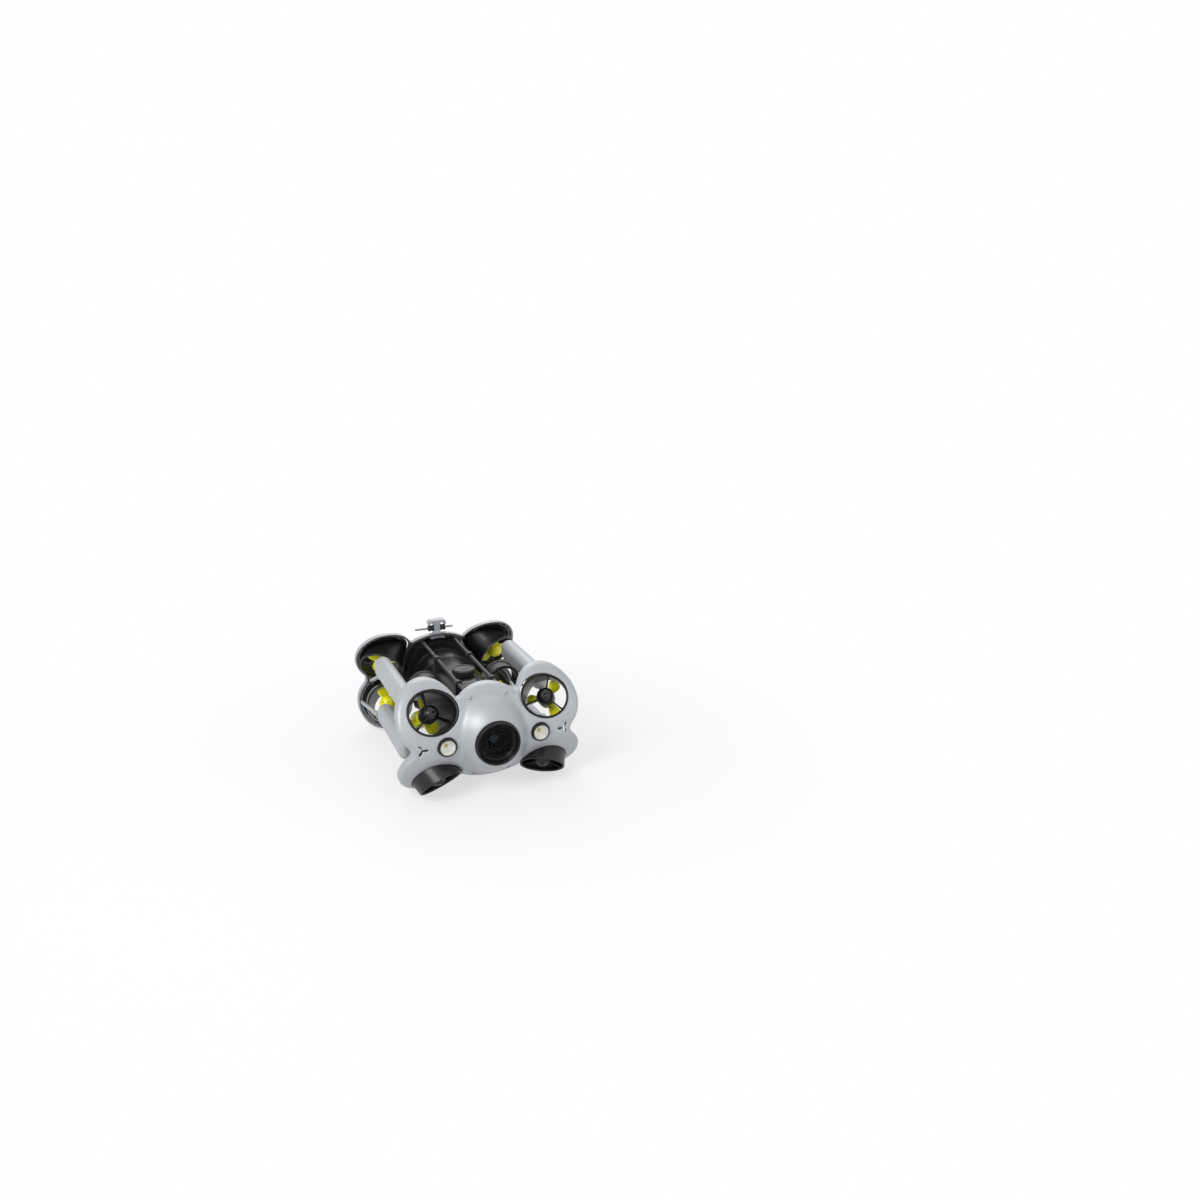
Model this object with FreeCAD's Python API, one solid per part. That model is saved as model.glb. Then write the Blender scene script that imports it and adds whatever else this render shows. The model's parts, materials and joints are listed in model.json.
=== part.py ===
import FreeCAD, Part
import math
import os

# Underwater inspection vehicle, millimetres, +Z up, nose towards -Y, origin under the middle.
# Heights in the functions are measured from the camera axis; everything is lifted at the end
# so that the lowest duct rims stand on Z = 0.

V = FreeCAD.Vector

# ---- overall -------------------------------------------------------------------------------
half_length = 190.0            # nose of the camera bezel to the middle
fit_gap = 0.3                  # static clearance between nested pieces
running_gap = 0.05             # radial clearance of turning pieces

# ---- end shells ----------------------------------------------------------------------------
web_reach = 171.0              # middle to the flattest part of a shell
web_curve = 0.0074             # how fast a shell falls back above and below the axis
wrap_start = 90.0              # distance from the middle plane where the side wrap begins
wrap_depth = 5.0               # extra fall of the surface at the outer edge
shell_wall = 3.0
skirt_depth = 15.0             # depth of the rim wall behind the outer surface
skirt_wall = 2.6
upper_lobe_x = 87.0
upper_lobe_z = 37.5
upper_lobe_r = 46.5
lower_lobe_x = 98.0
lower_lobe_z = -40.5
lower_lobe_r = 36.0
hub_r = 71.0                   # round flange in the middle of a shell
waist_fillet = 12.0
notch_fillet = 5.0
under_fillet = 25.0
dome_r = 60.0
dome_centre_reach = 134.0
dome_blend = 9.0
grid_step = 5.0

# ---- pressure hull -------------------------------------------------------------------------
hull_r = 48.0
hull_wall = 3.0
hull_half = 124.0
cap_r = 57.0
cap_reach = 141.0              # outer face of an end cap
collar_wall = 2.2              # shell ring that the end cap sits in
collar_inner = 126.0
plug_length = 16.0
groove_back = 8.0
liner_back = 9.0           # depth of the black inner plates below the outer surface
liner_wall = 2.4
ring_section = 1.8             # radius of the seal ring section

# ---- thrusters -----------------------------------------------------------------------------
duct_r = 33.0
duct_bore = 30.0
duct_length = 44.0             # rim centre to the middle of the inner mouth
mouth_lip = 1.4
mouth_lip_length = 3.0
rim_proud = 0.8
upper_rim = V(81.4, 154.0, 48.6)
lower_rim = V(75.2, 155.3, -59.9)
axis_slope = V(-0.385, 0.755, 0.53)      # outward direction of the right rear upper duct
rim_slope = V(-0.30, 0.58, 0.76)         # normal of its rim plane
pod_r = 11.0
pod_length = 24.0
pod_sleeve = 2.0
pod_sleeve_start = 5.0
pod_sleeve_end = 21.0
nose_hole_r = 1.8
strut_thick = 2.4
strut_count = 3
strut_turn = 25.0
shaft_r = 2.5
shaft_reach = 14.0
propeller_gap = 1.0
propeller_hub_r = 12.5
propeller_hub_length = 13.0
spinner_length = 12.0
blade_tip_r = 28.8
blade_count = 3
blade_thick = 2.0
blade_pitch_root = 48.0
blade_pitch_tip = 24.0
blade_chord_root = 13.0
blade_chord_tip = 19.0
spinner_hole_r = 1.2
spinner_hole_offset = 5.0

# ---- side beams ----------------------------------------------------------------------------
beam_x = 103.7
beam_upper_z = 43.0
beam_lower_z = -36.0
beam_r = 13.0
beam_rise = 8.0                # straight part of the section
beam_half = 82.0
beam_round = 8.0
slot_length = 60.0
slot_width = 2.4
slot_depth = 1.4
beam_wall = 3.0
arm_r = 3.2
boss_r = 6.0
waist_boss = V(109.0, 147.0, -7.5)
waist_boss_half = 3.4        # arms sit this far above and below the boss middle
lobe_boss = V(127.8, 144.0, -38.0)

# ---- camera and lamps ----------------------------------------------------------------------
bezel_r = 32.0
bezel_window_r = 25.0
bezel_depth = 26.0
window_back = 9.0
window_thick = 3.0
lens_r = 9.0
module_r = 22.0
lamp_x = 68.6
lamp_reach = 175.0
lamp_r = 13.0
lamp_wall = 2.2
lamp_depth = 16.0
slot_mark_x = 104.0
slot_mark_length = 8.0
slot_mark_width = 2.2

# ---- fittings on top -----------------------------------------------------------------------
rod_x = 26.0
rod_z = 57.1
rod_r = 3.0
rod_socket = 6.0
rod_boss_start = 136.0
clip_y = 34.0
clip_length = 8.0
clip_wall = 2.4
port_y = -22.0
port_neck_r = 15.0
port_cap_r = 18.0
port_seat = 49.5
port_cap_height = 8.5
port_ribs = 24
saddle_x = 60.0
saddle_z = 31.5
saddle_r = 23.5
saddle_wall = 2.6
saddle_start = -35.0
saddle_end = -7.0
saddle_lip = 2.0
bracket_y = 128.5
bracket_depth = 12.0
bracket_top = 91.5
bracket_half = 15.0
bracket_bar = 5.0
bracket_hook = 4.0
bracket_hook_drop = 9.0
bracket_stem = 4.5
bracket_foot = 12.0
bracket_foot_rise = 4.7
bracket_flare = 8.5
roller_clear = 0.8             # between a roller and the hub of the rear shell
pin_r = 1.7
pin_left = 36.0
pin_right = 27.0
roller_r = 5.0
screw_x = 26.6
screw_z = 57.0
screw_head_r = 2.6
screw_head = 1.6
screw_shank_r = 1.5
screw_boss_start = 133.0
screw_boss_r = 4.5
lamp_lens_thick = 2.0
module_back = -112.0
battery_r = 42.0
battery_start = -98.0
battery_end = 96.0
battery_flat = 6.0
tray_half = 40.0
tray_thick = 2.5
board_half = 30.0
saddle_drop = 12.0
roller_end = 14.0
socket_r = 22.0
socket_pins = 6
socket_bore_r = 8.0
socket_depth = 14.0
socket_mouth_r = 9.0
socket_mouth = 6.0             # depth of the wider mouth of the socket
socket_pin_r = 0.8
socket_pin_circle = 4.0


def unit(v):
    out = V(v)
    out.normalize()
    return out


def corner(v, side, end):
    """Vector of the right rear corner carried to side (-1 left) and end (-1 front)."""
    return V(v.x * side, v.y * end, v.z)


def web_depth(x, z):
    """Distance of the shell's plain surface from the middle."""
    wrap = max(0.0, abs(x) - wrap_start) / (upper_lobe_x + upper_lobe_r - wrap_start)
    return web_reach - web_curve * z * z - wrap_depth * wrap * wrap


def shell_depth(x, z):
    """Distance of the outer shell surface from the middle, web blended with the dome."""
    web = web_depth(x, z)
    radius = math.hypot(x, z)
    if radius < dome_r:
        dome = dome_centre_reach + math.sqrt(dome_r * dome_r - radius * radius)
    else:
        dome = dome_centre_reach - 4.0 * (radius - dome_r)
    blend = max(0.0, dome_blend - abs(web - dome)) / dome_blend
    return max(web, dome) + blend * blend * dome_blend * 0.25


def shell_face(back):
    """Smooth face through the shell surface, moved towards the middle by back."""
    x_half = 140.0
    z_half = 90.0
    x_count = int(2 * x_half / grid_step) + 1
    z_count = int(2 * z_half / grid_step) + 1
    rows = []
    for i in range(x_count):
        x = -x_half + i * grid_step
        row = []
        for j in range(z_count):
            z = -z_half + j * grid_step
            row.append(V(x, shell_depth(x, z) - back, z))
        rows.append(row)
    surface = Part.BSplineSurface()
    surface.interpolate(rows)
    return surface.toShape()


def shell_slab(front, back):
    """Solid between two depths below the outer surface, at the rear end."""
    return shell_face(front).extrude(V(0, front - back, 0))


def circle_meet(a, ra, b, rb, side):
    """Crossing point of two circles in the XZ plane on the given side of a-b."""
    d = b.sub(a)
    dist = d.Length
    along = (ra * ra - rb * rb + dist * dist) / (2.0 * dist)
    height = math.sqrt(max(0.0, ra * ra - along * along))
    d.normalize()
    normal = V(d.z, 0, -d.x)
    return a.add(V(d).multiply(along)).add(normal.multiply(height * side))


def towards(a, b, length):
    d = b.sub(a)
    d.normalize()
    return a.add(d.multiply(length))


def mid_arc(start, end, centre, radius, outward):
    """Point half way along an arc, on the outward side of the chord."""
    chord_mid = start.add(end).multiply(0.5)
    direction = chord_mid.sub(centre)
    if direction.Length < 1e-6:
        direction = V(outward)
    direction.normalize()
    if direction.dot(outward) < 0:
        direction = direction.multiply(-1)
    return centre.add(direction.multiply(radius))


def outline_wire(inset):
    """Closed outline of a shell seen from its end, moved inwards by inset."""
    hub = V(0, 0, 0)
    upper = V(upper_lobe_x, 0, upper_lobe_z)
    lower = V(lower_lobe_x, 0, lower_lobe_z)
    hub_in = hub_r - inset
    upper_in = upper_lobe_r - inset
    lower_in = lower_lobe_r - inset
    notch = notch_fillet + inset
    waist = waist_fillet + inset
    under = under_fillet + inset
    notch_c = circle_meet(hub, hub_in + notch, upper, upper_in + notch, -1)
    waist_c = circle_meet(upper, upper_in + waist, lower, lower_in + waist, -1)
    under_c = circle_meet(hub, hub_in + under, lower, lower_in + under, 1)
    p1 = towards(hub, notch_c, hub_in)
    p2 = towards(upper, notch_c, upper_in)
    p3 = towards(upper, waist_c, upper_in)
    p4 = towards(lower, waist_c, lower_in)
    p5 = towards(lower, under_c, lower_in)
    p6 = towards(hub, under_c, hub_in)
    top = V(0, 0, hub_in)
    bottom = V(0, 0, -hub_in)
    right = [
        (top, mid_arc(top, p1, hub, hub_in, V(0, 0, 1)), p1),
        (p1, towards(notch_c, hub.add(upper).multiply(0.5), notch), p2),
        (p2, mid_arc(p2, p3, upper, upper_in, V(1, 0, 1)), p3),
        (p3, towards(waist_c, V(90, 0, -5), waist), p4),
        (p4, mid_arc(p4, p5, lower, lower_in, V(1, 0, -1)), p5),
        (p5, towards(under_c, V(48, 0, -20), under), p6),
        (p6, mid_arc(p6, bottom, hub, hub_in, V(0, 0, -1)), bottom),
    ]
    edges = [Part.Arc(a, b, c).toShape() for a, b, c in right]
    for a, b, c in reversed(right):
        edges.append(Part.Arc(V(-c.x, 0, c.z), V(-b.x, 0, b.z), V(-a.x, 0, a.z)).toShape())
    return Part.Wire(edges)


def outline_prism(inset):
    face = Part.Face(outline_wire(inset))
    prism = face.extrude(V(0, 2.0 * half_length, 0))
    return prism


def rod_along(start, end, radius):
    d = end.sub(start)
    return Part.makeCylinder(radius, d.Length, start, d)


def y_cylinder(radius, y0, y1, x=0.0, z=0.0):
    return Part.makeCylinder(radius, y1 - y0, V(x, y0, z), V(0, 1, 0))


def duct_frame(side, end, upper):
    """Rim centre, outward axis and rim normal of one duct."""
    level = 1.0 if upper else -1.0
    rim = corner(upper_rim if upper else lower_rim, side, end)
    axis = unit(V(axis_slope.x * side, axis_slope.y * end, axis_slope.z * level))
    normal = unit(V(rim_slope.x * side, rim_slope.y * end, rim_slope.z * level))
    return rim, axis, normal


def mirror_front(shape):
    return shape.mirror(V(0, 0, 0), V(0, 1, 0))


def duct_clear(side, end, upper, radius):
    """Long cylinder along a duct, used to open the pieces it passes."""
    rim, axis, normal = duct_frame(side, end, upper)
    start = rim.sub(V(axis).multiply(duct_length + 30.0))
    return Part.makeCylinder(radius, duct_length + 90.0, start, axis)



def inside_solid():
    """Everything on the inner side of the middle of the shell skin."""
    return shell_face(0.5 * shell_wall).extrude(V(0, -120.0, 0))


def boss(x, z, start, radius):
    return y_cylinder(radius, start, half_length, x, z)


def shell_base(lobe_bosses):
    """Shell of the rear end without the openings that differ between the two ends."""
    outer = outline_prism(0.0)
    skin = shell_slab(0.0, shell_wall).common(outer)
    ring = outer.cut(outline_prism(skirt_wall))
    skirt = shell_slab(0.0, skirt_depth).common(ring)
    collar_in = cap_r + fit_gap
    extras = [boss(0.0, 0.0, collar_inner, collar_in + collar_wall)]
    for side in (-1, 1):
        extras.append(boss(rod_x * side, rod_z, rod_boss_start, rod_r + 2.5))
        for level in (-1, 1):
            z = waist_boss.z + level * waist_boss_half
            extras.append(boss(waist_boss.x * side, z, waist_boss.y, boss_r))
            extras.append(boss(screw_x * side, screw_z * level, screw_boss_start, screw_boss_r))
        if lobe_bosses:
            extras.append(boss(lobe_boss.x * side, lobe_boss.z, lobe_boss.y, boss_r))
    inside = inside_solid().common(outer)
    shell = skin.fuse(skirt)
    for extra in extras:
        shell = shell.fuse(extra.common(inside))
    shell = shell.cut(y_cylinder(collar_in, collar_inner - 1.0, cap_reach + fit_gap))
    for side in (-1, 1):
        for upper in (True, False):
            shell = shell.cut(duct_clear(side, 1, upper, duct_r + fit_gap))
        rod_hole = y_cylinder(rod_r + running_gap, hull_half, rod_reach() + running_gap, rod_x * side, rod_z)
        shell = shell.cut(rod_hole)
        for level in (-1, 1):
            shell = shell.cut(screw_solid(side, level, 0.1))
    return shell


def rod_reach():
    """Distance of the ends of a conduit from the middle."""
    return rod_boss_start + rod_socket


def screw_solid(side, level, gap):
    """Flange screw of the rear end: sunk head and plain shank."""
    seat = web_depth(screw_x, screw_z)
    x = screw_x * side
    z = screw_z * level
    head = y_cylinder(screw_head_r + gap, seat - screw_head, seat + 4.0 * gap, x, z)
    shank = y_cylinder(screw_shank_r + gap, rod_reach() + fit_gap - gap, seat - screw_head, x, z)
    return head.fuse(shank)


def three_arm_mark(side):
    """Three-armed opening in the waist of the front shell."""
    arms = None
    for k in range(3):
        angle = math.radians(90.0 + 120.0 * k)
        arm = Part.makeBox(slot_mark_width, 40.0, slot_mark_length, V(-slot_mark_width / 2.0, -half_length, 0))
        arm.rotate(V(0, 0, 0), V(0, 1, 0), math.degrees(angle))
        arms = arm if arms is None else arms.fuse(arm)
    arms.translate(V(slot_mark_x * side, 0, 0))
    return arms


def front_shell():
    shell = mirror_front(shell_base(False))
    shell = shell.cut(y_cylinder(bezel_r + fit_gap, -half_length - 10.0, -cap_reach + 10.0))
    for side in (-1, 1):
        shell = shell.cut(y_cylinder(lamp_r + fit_gap, -half_length, -lamp_back(), lamp_x * side))
        shell = shell.cut(three_arm_mark(side))
    return shell


def lamp_back():
    return lamp_reach - lamp_depth - 1.0


def rear_shell():
    shell = shell_base(True)
    shell = shell.cut(bracket_slot())
    return shell.cut(y_cylinder(socket_r + fit_gap, cap_reach - 10.0, half_length + 10.0))


def liner(side, end):
    """Black inner plate of one half of a shell, open for the ducts and the bosses."""
    plate = shell_slab(liner_back, liner_back + liner_wall)
    plate = plate.common(outline_prism(skirt_wall + 2.0 * fit_gap))
    plate = plate.cut(y_cylinder(hub_r - skirt_wall, 0.0, half_length))
    for upper in (True, False):
        plate = plate.cut(duct_clear(side, 1, upper, duct_r + mouth_lip + fit_gap))
    for level in (-1, 1):
        z = waist_boss.z + level * waist_boss_half
        plate = plate.cut(boss(waist_boss.x * side, z, 0.0, boss_r + fit_gap))
    plate = plate.cut(boss(lobe_boss.x * side, lobe_boss.z, 0.0, boss_r + fit_gap))
    if end < 0:
        plate = plate.cut(boss(lamp_x * side, 0.0, 0.0, lamp_r + fit_gap))
    own_half = [solid for solid in plate.Solids if solid.CenterOfMass.x * side > 0]
    plate = max(own_half, key=lambda solid: solid.Volume)
    return mirror_front(plate) if end < 0 else plate


# ---- thrusters -----------------------------------------------------------------------------

def duct(side, end, upper):
    """Open duct with its rim, inner lip, three struts and the sleeve of the motor pod."""
    rim, axis, normal = duct_frame(side, end, upper)
    mouth = rim.sub(V(axis).multiply(duct_length))
    body = Part.makeCylinder(duct_r, duct_length + 40.0, mouth, axis)
    lip = Part.makeCylinder(duct_r + mouth_lip, mouth_lip_length, mouth, axis)
    body = body.fuse(lip)
    body = body.cut(Part.makeCylinder(duct_bore, duct_length + 60.0, mouth.sub(V(axis).multiply(5.0)), axis))
    if upper:
        keep = shell_face(-rim_proud).extrude(V(0, -140.0, 0))
        if end < 0:
            keep = mirror_front(keep)
        body = body.common(keep)
    else:
        body = body.cut(Part.makeCylinder(3.0 * duct_r, 3.0 * duct_r, rim, normal))
    across = axis.cross(V(0, 0, 1))
    across.normalize()
    sleeve_start = rim.sub(V(axis).multiply(pod_sleeve_end))
    sleeve_length = pod_sleeve_end - pod_sleeve_start
    inner = pod_r + running_gap
    sleeve = Part.makeCylinder(inner + pod_sleeve, sleeve_length, sleeve_start, axis)
    for k in range(strut_count):
        strut = Part.makeBox(duct_bore + 1.0 - inner, strut_thick, sleeve_length - 2.0)
        strut.translate(V(inner + 0.5, -strut_thick / 2.0, 1.0))
        strut.rotate(V(0, 0, 0), V(0, 0, 1), 360.0 * k / strut_count + strut_turn)
        strut.Placement = place_on(sleeve_start, axis, across).multiply(strut.Placement)
        sleeve = sleeve.fuse(strut)
    sleeve = sleeve.cut(Part.makeCylinder(inner, 2.0 * duct_length, mouth, axis))
    return body.fuse(sleeve)


def place_on(origin, axis, across):
    """Placement whose local Z runs along axis and whose local X runs along across."""
    third = axis.cross(across)
    matrix = FreeCAD.Matrix(
        across.x, third.x, axis.x, origin.x,
        across.y, third.y, axis.y, origin.y,
        across.z, third.z, axis.z, origin.z,
        0, 0, 0, 1)
    return FreeCAD.Placement(matrix)


def on_duct(shape, side, end, upper):
    """Carry a shape drawn along -Z (0 at the rim, going inwards) onto a duct axis."""
    rim, axis, normal = duct_frame(side, end, upper)
    across = axis.cross(V(0, 0, 1))
    across.normalize()
    shape.Placement = place_on(rim, axis, across).multiply(shape.Placement)
    return shape


def motor_pod():
    """Round-nosed motor housing with its shaft, nose at 0, shaft towards -Z."""
    nose_end = -pod_length * 0.45
    points = []
    steps = 8
    for k in range(steps + 1):
        angle = math.radians(90.0 * k / steps)
        points.append(V(pod_r * math.sin(angle), 0, nose_end - nose_end * math.cos(angle)))
    curve = Part.BSplineCurve()
    curve.interpolate(points)
    edges = [
        curve.toShape(),
        Part.makeLine(V(pod_r, 0, nose_end), V(pod_r, 0, -pod_length)),
        Part.makeLine(V(pod_r, 0, -pod_length), V(0, 0, -pod_length)),
        Part.makeLine(V(0, 0, -pod_length), V(0, 0, 0)),
    ]
    pod = Part.Face(Part.Wire(edges)).revolve(V(0, 0, 0), V(0, 0, 1), 360.0)
    pod = pod.cut(Part.makeCylinder(nose_hole_r, 6.0, V(0, 0, -5.0)))
    shaft = Part.makeCylinder(shaft_r, shaft_reach + 4.0, V(0, 0, -pod_length - shaft_reach))
    return pod.fuse(shaft)


def blade_section(radius, start):
    """Lens-shaped section of a blade at one radius, chord along the helix."""
    share = (radius - propeller_hub_r) / (blade_tip_r - propeller_hub_r)
    pitch = math.radians(blade_pitch_root + (blade_pitch_tip - blade_pitch_root) * share)
    chord = blade_chord_root + (blade_chord_tip - blade_chord_root) * math.sin(math.pi * 0.62 * share)
    half = chord / 2.0
    thick = blade_thick * (1.0 - 0.45 * share) / 2.0
    edges = []
    for face in (1.0, -1.0):
        points = []
        for a, b in ((-1.0, 0.0), (-0.6, 0.75), (0.0, 1.0), (0.6, 0.75), (1.0, 0.0)):
            along = a * half
            across = b * thick * face
            points.append(V(radius, along * math.cos(pitch) - across * math.sin(pitch),
                            start + along * math.sin(pitch) + across * math.cos(pitch)))
        curve = Part.BSplineCurve()
        curve.interpolate(points)
        edges.append(curve.toShape())
    return Part.Wire(Part.__sortEdges__(edges))


def propeller():
    """Hub with a domed spinner and three twisted blades, drawn towards -Z."""
    hub_start = -pod_length - propeller_gap
    hub_end = hub_start - propeller_hub_length
    steps = 8
    points = []
    for k in range(steps + 1):
        angle = math.radians(90.0 * k / steps)
        points.append(V(propeller_hub_r * math.cos(angle), 0, hub_end - spinner_length * math.sin(angle)))
    curve = Part.BSplineCurve()
    curve.interpolate(points)
    tip = hub_end - spinner_length
    edges = [
        Part.makeLine(V(0, 0, hub_start), V(propeller_hub_r, 0, hub_start)),
        Part.makeLine(V(propeller_hub_r, 0, hub_start), V(propeller_hub_r, 0, hub_end)),
        curve.toShape(),
        Part.makeLine(V(0, 0, tip), V(0, 0, hub_start)),
    ]
    body = Part.Face(Part.Wire(edges)).revolve(V(0, 0, 0), V(0, 0, 1), 360.0)
    middle = 0.5 * (hub_start + hub_end)
    radii = [propeller_hub_r - 1.5, 16.0, 20.5, 25.0, blade_tip_r]
    blade = Part.makeLoft([blade_section(r, middle) for r in radii], True)
    for k in range(blade_count):
        turned = blade.copy()
        turned.rotate(V(0, 0, 0), V(0, 0, 1), 360.0 * k / blade_count)
        body = body.fuse(turned)
    shaft_room = shaft_reach + running_gap - propeller_gap
    body = body.cut(Part.makeCylinder(shaft_r + running_gap, shaft_room, V(0, 0, hub_start - shaft_room)))
    for sign in (-1, 1):
        body = body.cut(Part.makeCylinder(spinner_hole_r, 4.0, V(sign * spinner_hole_offset, 0, tip - 1.0)))
    return body


# ---- side beams ----------------------------------------------------------------------------

def obround(y0, y1, x, z, radius, rise):
    half = rise / 2.0
    shape = y_cylinder(radius, y0, y1, x, z + half).fuse(y_cylinder(radius, y0, y1, x, z - half))
    return shape.fuse(Part.makeBox(2.0 * radius, y1 - y0, rise, V(x - radius, y0, z - half)))


def side_beam(side, upper):
    """Rounded beam with a long groove outside and an arm to each end shell."""
    z = beam_upper_z if upper else beam_lower_z
    beam = obround(-beam_half, beam_half, beam_x, z, beam_r, beam_rise).removeSplitter()
    ends = [e for e in beam.Edges if abs(abs(e.CenterOfMass.y) - beam_half) < 0.01]
    beam = beam.makeFillet(beam_round, ends)
    groove_z = z - beam_r * 0.5
    groove_x = beam_x + math.sqrt(beam_r ** 2 - (0.5 * beam_r - 0.5 * beam_rise) ** 2) - slot_depth
    groove = Part.makeBox(beam_r, slot_length, slot_width, V(groove_x, -slot_length / 2.0, groove_z))
    beam = beam.cut(groove)
    room = beam_half - beam_wall
    beam = beam.cut(obround(-room, room, beam_x, z, beam_r - beam_wall, beam_rise))
    inner_z = z - beam_r if upper else z + beam_r
    target_z = waist_boss.z + (waist_boss_half if upper else -waist_boss_half)
    root = V(beam_x + 4.0, beam_half - 10.0, inner_z)
    foot = V(waist_boss.x, waist_boss.y - fit_gap, target_z)
    front = arm(corner(root, 1, -1), corner(foot, 1, -1))
    if upper:
        rear = arm(root, foot)
    else:
        low_root = V(beam_x + beam_r - 2.0, beam_half - 4.0, lobe_boss.z)
        rear = arm(low_root, V(lobe_boss.x, lobe_boss.y - fit_gap, lobe_boss.z))
    beam = beam.fuse(front).fuse(rear)
    if side < 0:
        beam = beam.mirror(V(0, 0, 0), V(1, 0, 0))
    return beam


def arm(root, foot):
    """Round bar from inside a beam to the face of a boss, squared off at the boss."""
    direction = 1.0 if foot.y > 0 else -1.0
    bar = rod_along(root, foot.add(foot.sub(root).multiply(0.1)), arm_r)
    beyond = Part.makeBox(120.0, 60.0, 120.0, V(foot.x - 60.0, foot.y if direction > 0 else foot.y - 60.0, foot.z - 60.0))
    return bar.cut(beyond).fuse(Part.makeSphere(arm_r, root))


# ---- pressure hull and inside --------------------------------------------------------------

def pressure_hull():
    tube = y_cylinder(hull_r, -hull_half, hull_half).cut(y_cylinder(hull_r - hull_wall, -half_length, half_length))
    neck = Part.makeCylinder(port_neck_r, port_seat + 6.0 - hull_r + 6.0, V(0, port_y, hull_r - 6.0))
    neck = neck.cut(y_cylinder(hull_r - hull_wall, -half_length, half_length))
    return tube.fuse(neck)


def end_cap(end):
    """Flanged cap: plug with a seal groove inside the tube, disc in the shell collar."""
    plug_r = hull_r - hull_wall - running_gap
    cap = y_cylinder(cap_r, hull_half + fit_gap, cap_reach)
    cap = cap.fuse(y_cylinder(plug_r, hull_half - plug_length, hull_half + fit_gap + 1.0))
    groove = y_cylinder(plug_r + 1.0, hull_half - groove_back - ring_section, hull_half - groove_back + ring_section)
    groove = groove.cut(y_cylinder(plug_r - 2.0 * ring_section, 0.0, half_length))
    cap = cap.cut(groove)
    if end < 0:
        cap = cap.cut(y_cylinder(module_r + fit_gap, 0.0, half_length))
        return mirror_front(cap)
    return cap.cut(y_cylinder(socket_bore_r + 4.0 + running_gap, 0.0, half_length))


def seal_ring(end):
    ring = Part.makeTorus(hull_r - hull_wall - running_gap - ring_section, ring_section - 0.05,
                          V(0, end * (hull_half - groove_back), 0), V(0, 1, 0))
    return ring


def battery():
    pack = y_cylinder(battery_r, battery_start, battery_end)
    return pack.cut(Part.makeBox(4.0 * battery_r, half_length * 2.0, battery_r, V(-2.0 * battery_r, -half_length, battery_flat)))


def electronics():
    """Tray with its circuit board and components above the battery."""
    tray = Part.makeBox(2.0 * tray_half, battery_end - battery_start, tray_thick,
                        V(-tray_half, battery_start, battery_flat + fit_gap))
    board_z = battery_flat + fit_gap + tray_thick + 4.0
    board = Part.makeBox(2.0 * board_half, battery_end - battery_start - 20.0, 1.6,
                         V(-board_half, battery_start + 10.0, board_z))
    shape = tray.fuse(board)
    for y in (battery_start + 16.0, battery_end - 16.0):
        for x in (-board_half + 4.0, board_half - 4.0):
            shape = shape.fuse(Part.makeCylinder(2.0, 4.0 + 0.5, V(x, y, board_z - 4.2)))
    for k in range(4):
        y = battery_start + 30.0 + 34.0 * k
        shape = shape.fuse(Part.makeBox(12.0, 16.0, 3.0 + k, V(-6.0 + 5.0 * (-1) ** k, y, board_z + 1.2)))
    return shape


# ---- camera and lamps ----------------------------------------------------------------------

def camera_bezel():
    front = -half_length
    ring = y_cylinder(bezel_r, front, front + bezel_depth)
    cone = Part.makeCone(bezel_r - 1.5, bezel_window_r, window_back, V(0, front, 0), V(0, 1, 0))
    ring = ring.cut(cone)
    ring = ring.cut(y_cylinder(bezel_window_r + running_gap, front + window_back - 0.01, front + window_back + window_thick))
    ring = ring.cut(y_cylinder(module_r + fit_gap, front, 0.0))
    for angle in (-150.0, -30.0):
        x = (bezel_r - 3.5) * math.cos(math.radians(angle))
        z = (bezel_r - 3.5) * math.sin(math.radians(angle))
        ring = ring.cut(Part.makeSphere(1.4, V(x, front + 1.2, z)))
    return ring


def camera_window():
    front = -half_length + window_back
    return y_cylinder(bezel_window_r, front, front + window_thick)


def camera_module():
    """Barrel with a recessed lens behind the window, held in the front end cap."""
    front = -half_length + window_back + window_thick + 1.0
    barrel = y_cylinder(module_r, front, module_back)
    barrel = barrel.cut(y_cylinder(module_r - 4.0, front - 1.0, front + 3.0))
    hood = Part.makeCone(module_r - 4.0, lens_r + 1.0, 6.0, V(0, front + 2.99, 0), V(0, 1, 0))
    barrel = barrel.cut(hood)
    lens = Part.makeSphere(lens_r * 1.6, V(0, front + 6.0 + lens_r * 1.6, 0))
    lens = lens.common(y_cylinder(lens_r, front, front + 14.0))
    return barrel.fuse(lens)


def lamp_housing(side):
    front = -lamp_reach
    body = y_cylinder(lamp_r, front, front + lamp_depth, lamp_x * side)
    room = y_cylinder(lamp_r - lamp_wall, front - 1.0, front + lamp_depth - lamp_wall, lamp_x * side)
    return body.cut(room)


def lamp_reflector(side):
    front = -lamp_reach + lamp_lens_thick + 1.2
    back = -lamp_reach + lamp_depth - lamp_wall - 0.1
    outer = y_cylinder(lamp_r - lamp_wall - running_gap, front, back, lamp_x * side)
    bowl = Part.makeCone(lamp_r - lamp_wall - 0.8, 4.0, back - front - 2.0, V(lamp_x * side, front, 0), V(0, 1, 0))
    return outer.cut(bowl)


def lamp_lens(side):
    front = -lamp_reach + 0.6
    return y_cylinder(lamp_r - lamp_wall - running_gap, front, front + lamp_lens_thick, lamp_x * side)


def lamp_chip(side):
    back = -lamp_reach + lamp_depth - lamp_wall - 0.1 - 2.0
    return Part.makeBox(5.0, 1.0, 5.0, V(lamp_x * side - 2.5, back - 1.05, -2.5))


# ---- fittings ------------------------------------------------------------------------------

def conduit_rod(side):
    return y_cylinder(rod_r, -rod_reach(), rod_reach(), rod_x * side, rod_z)


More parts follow.
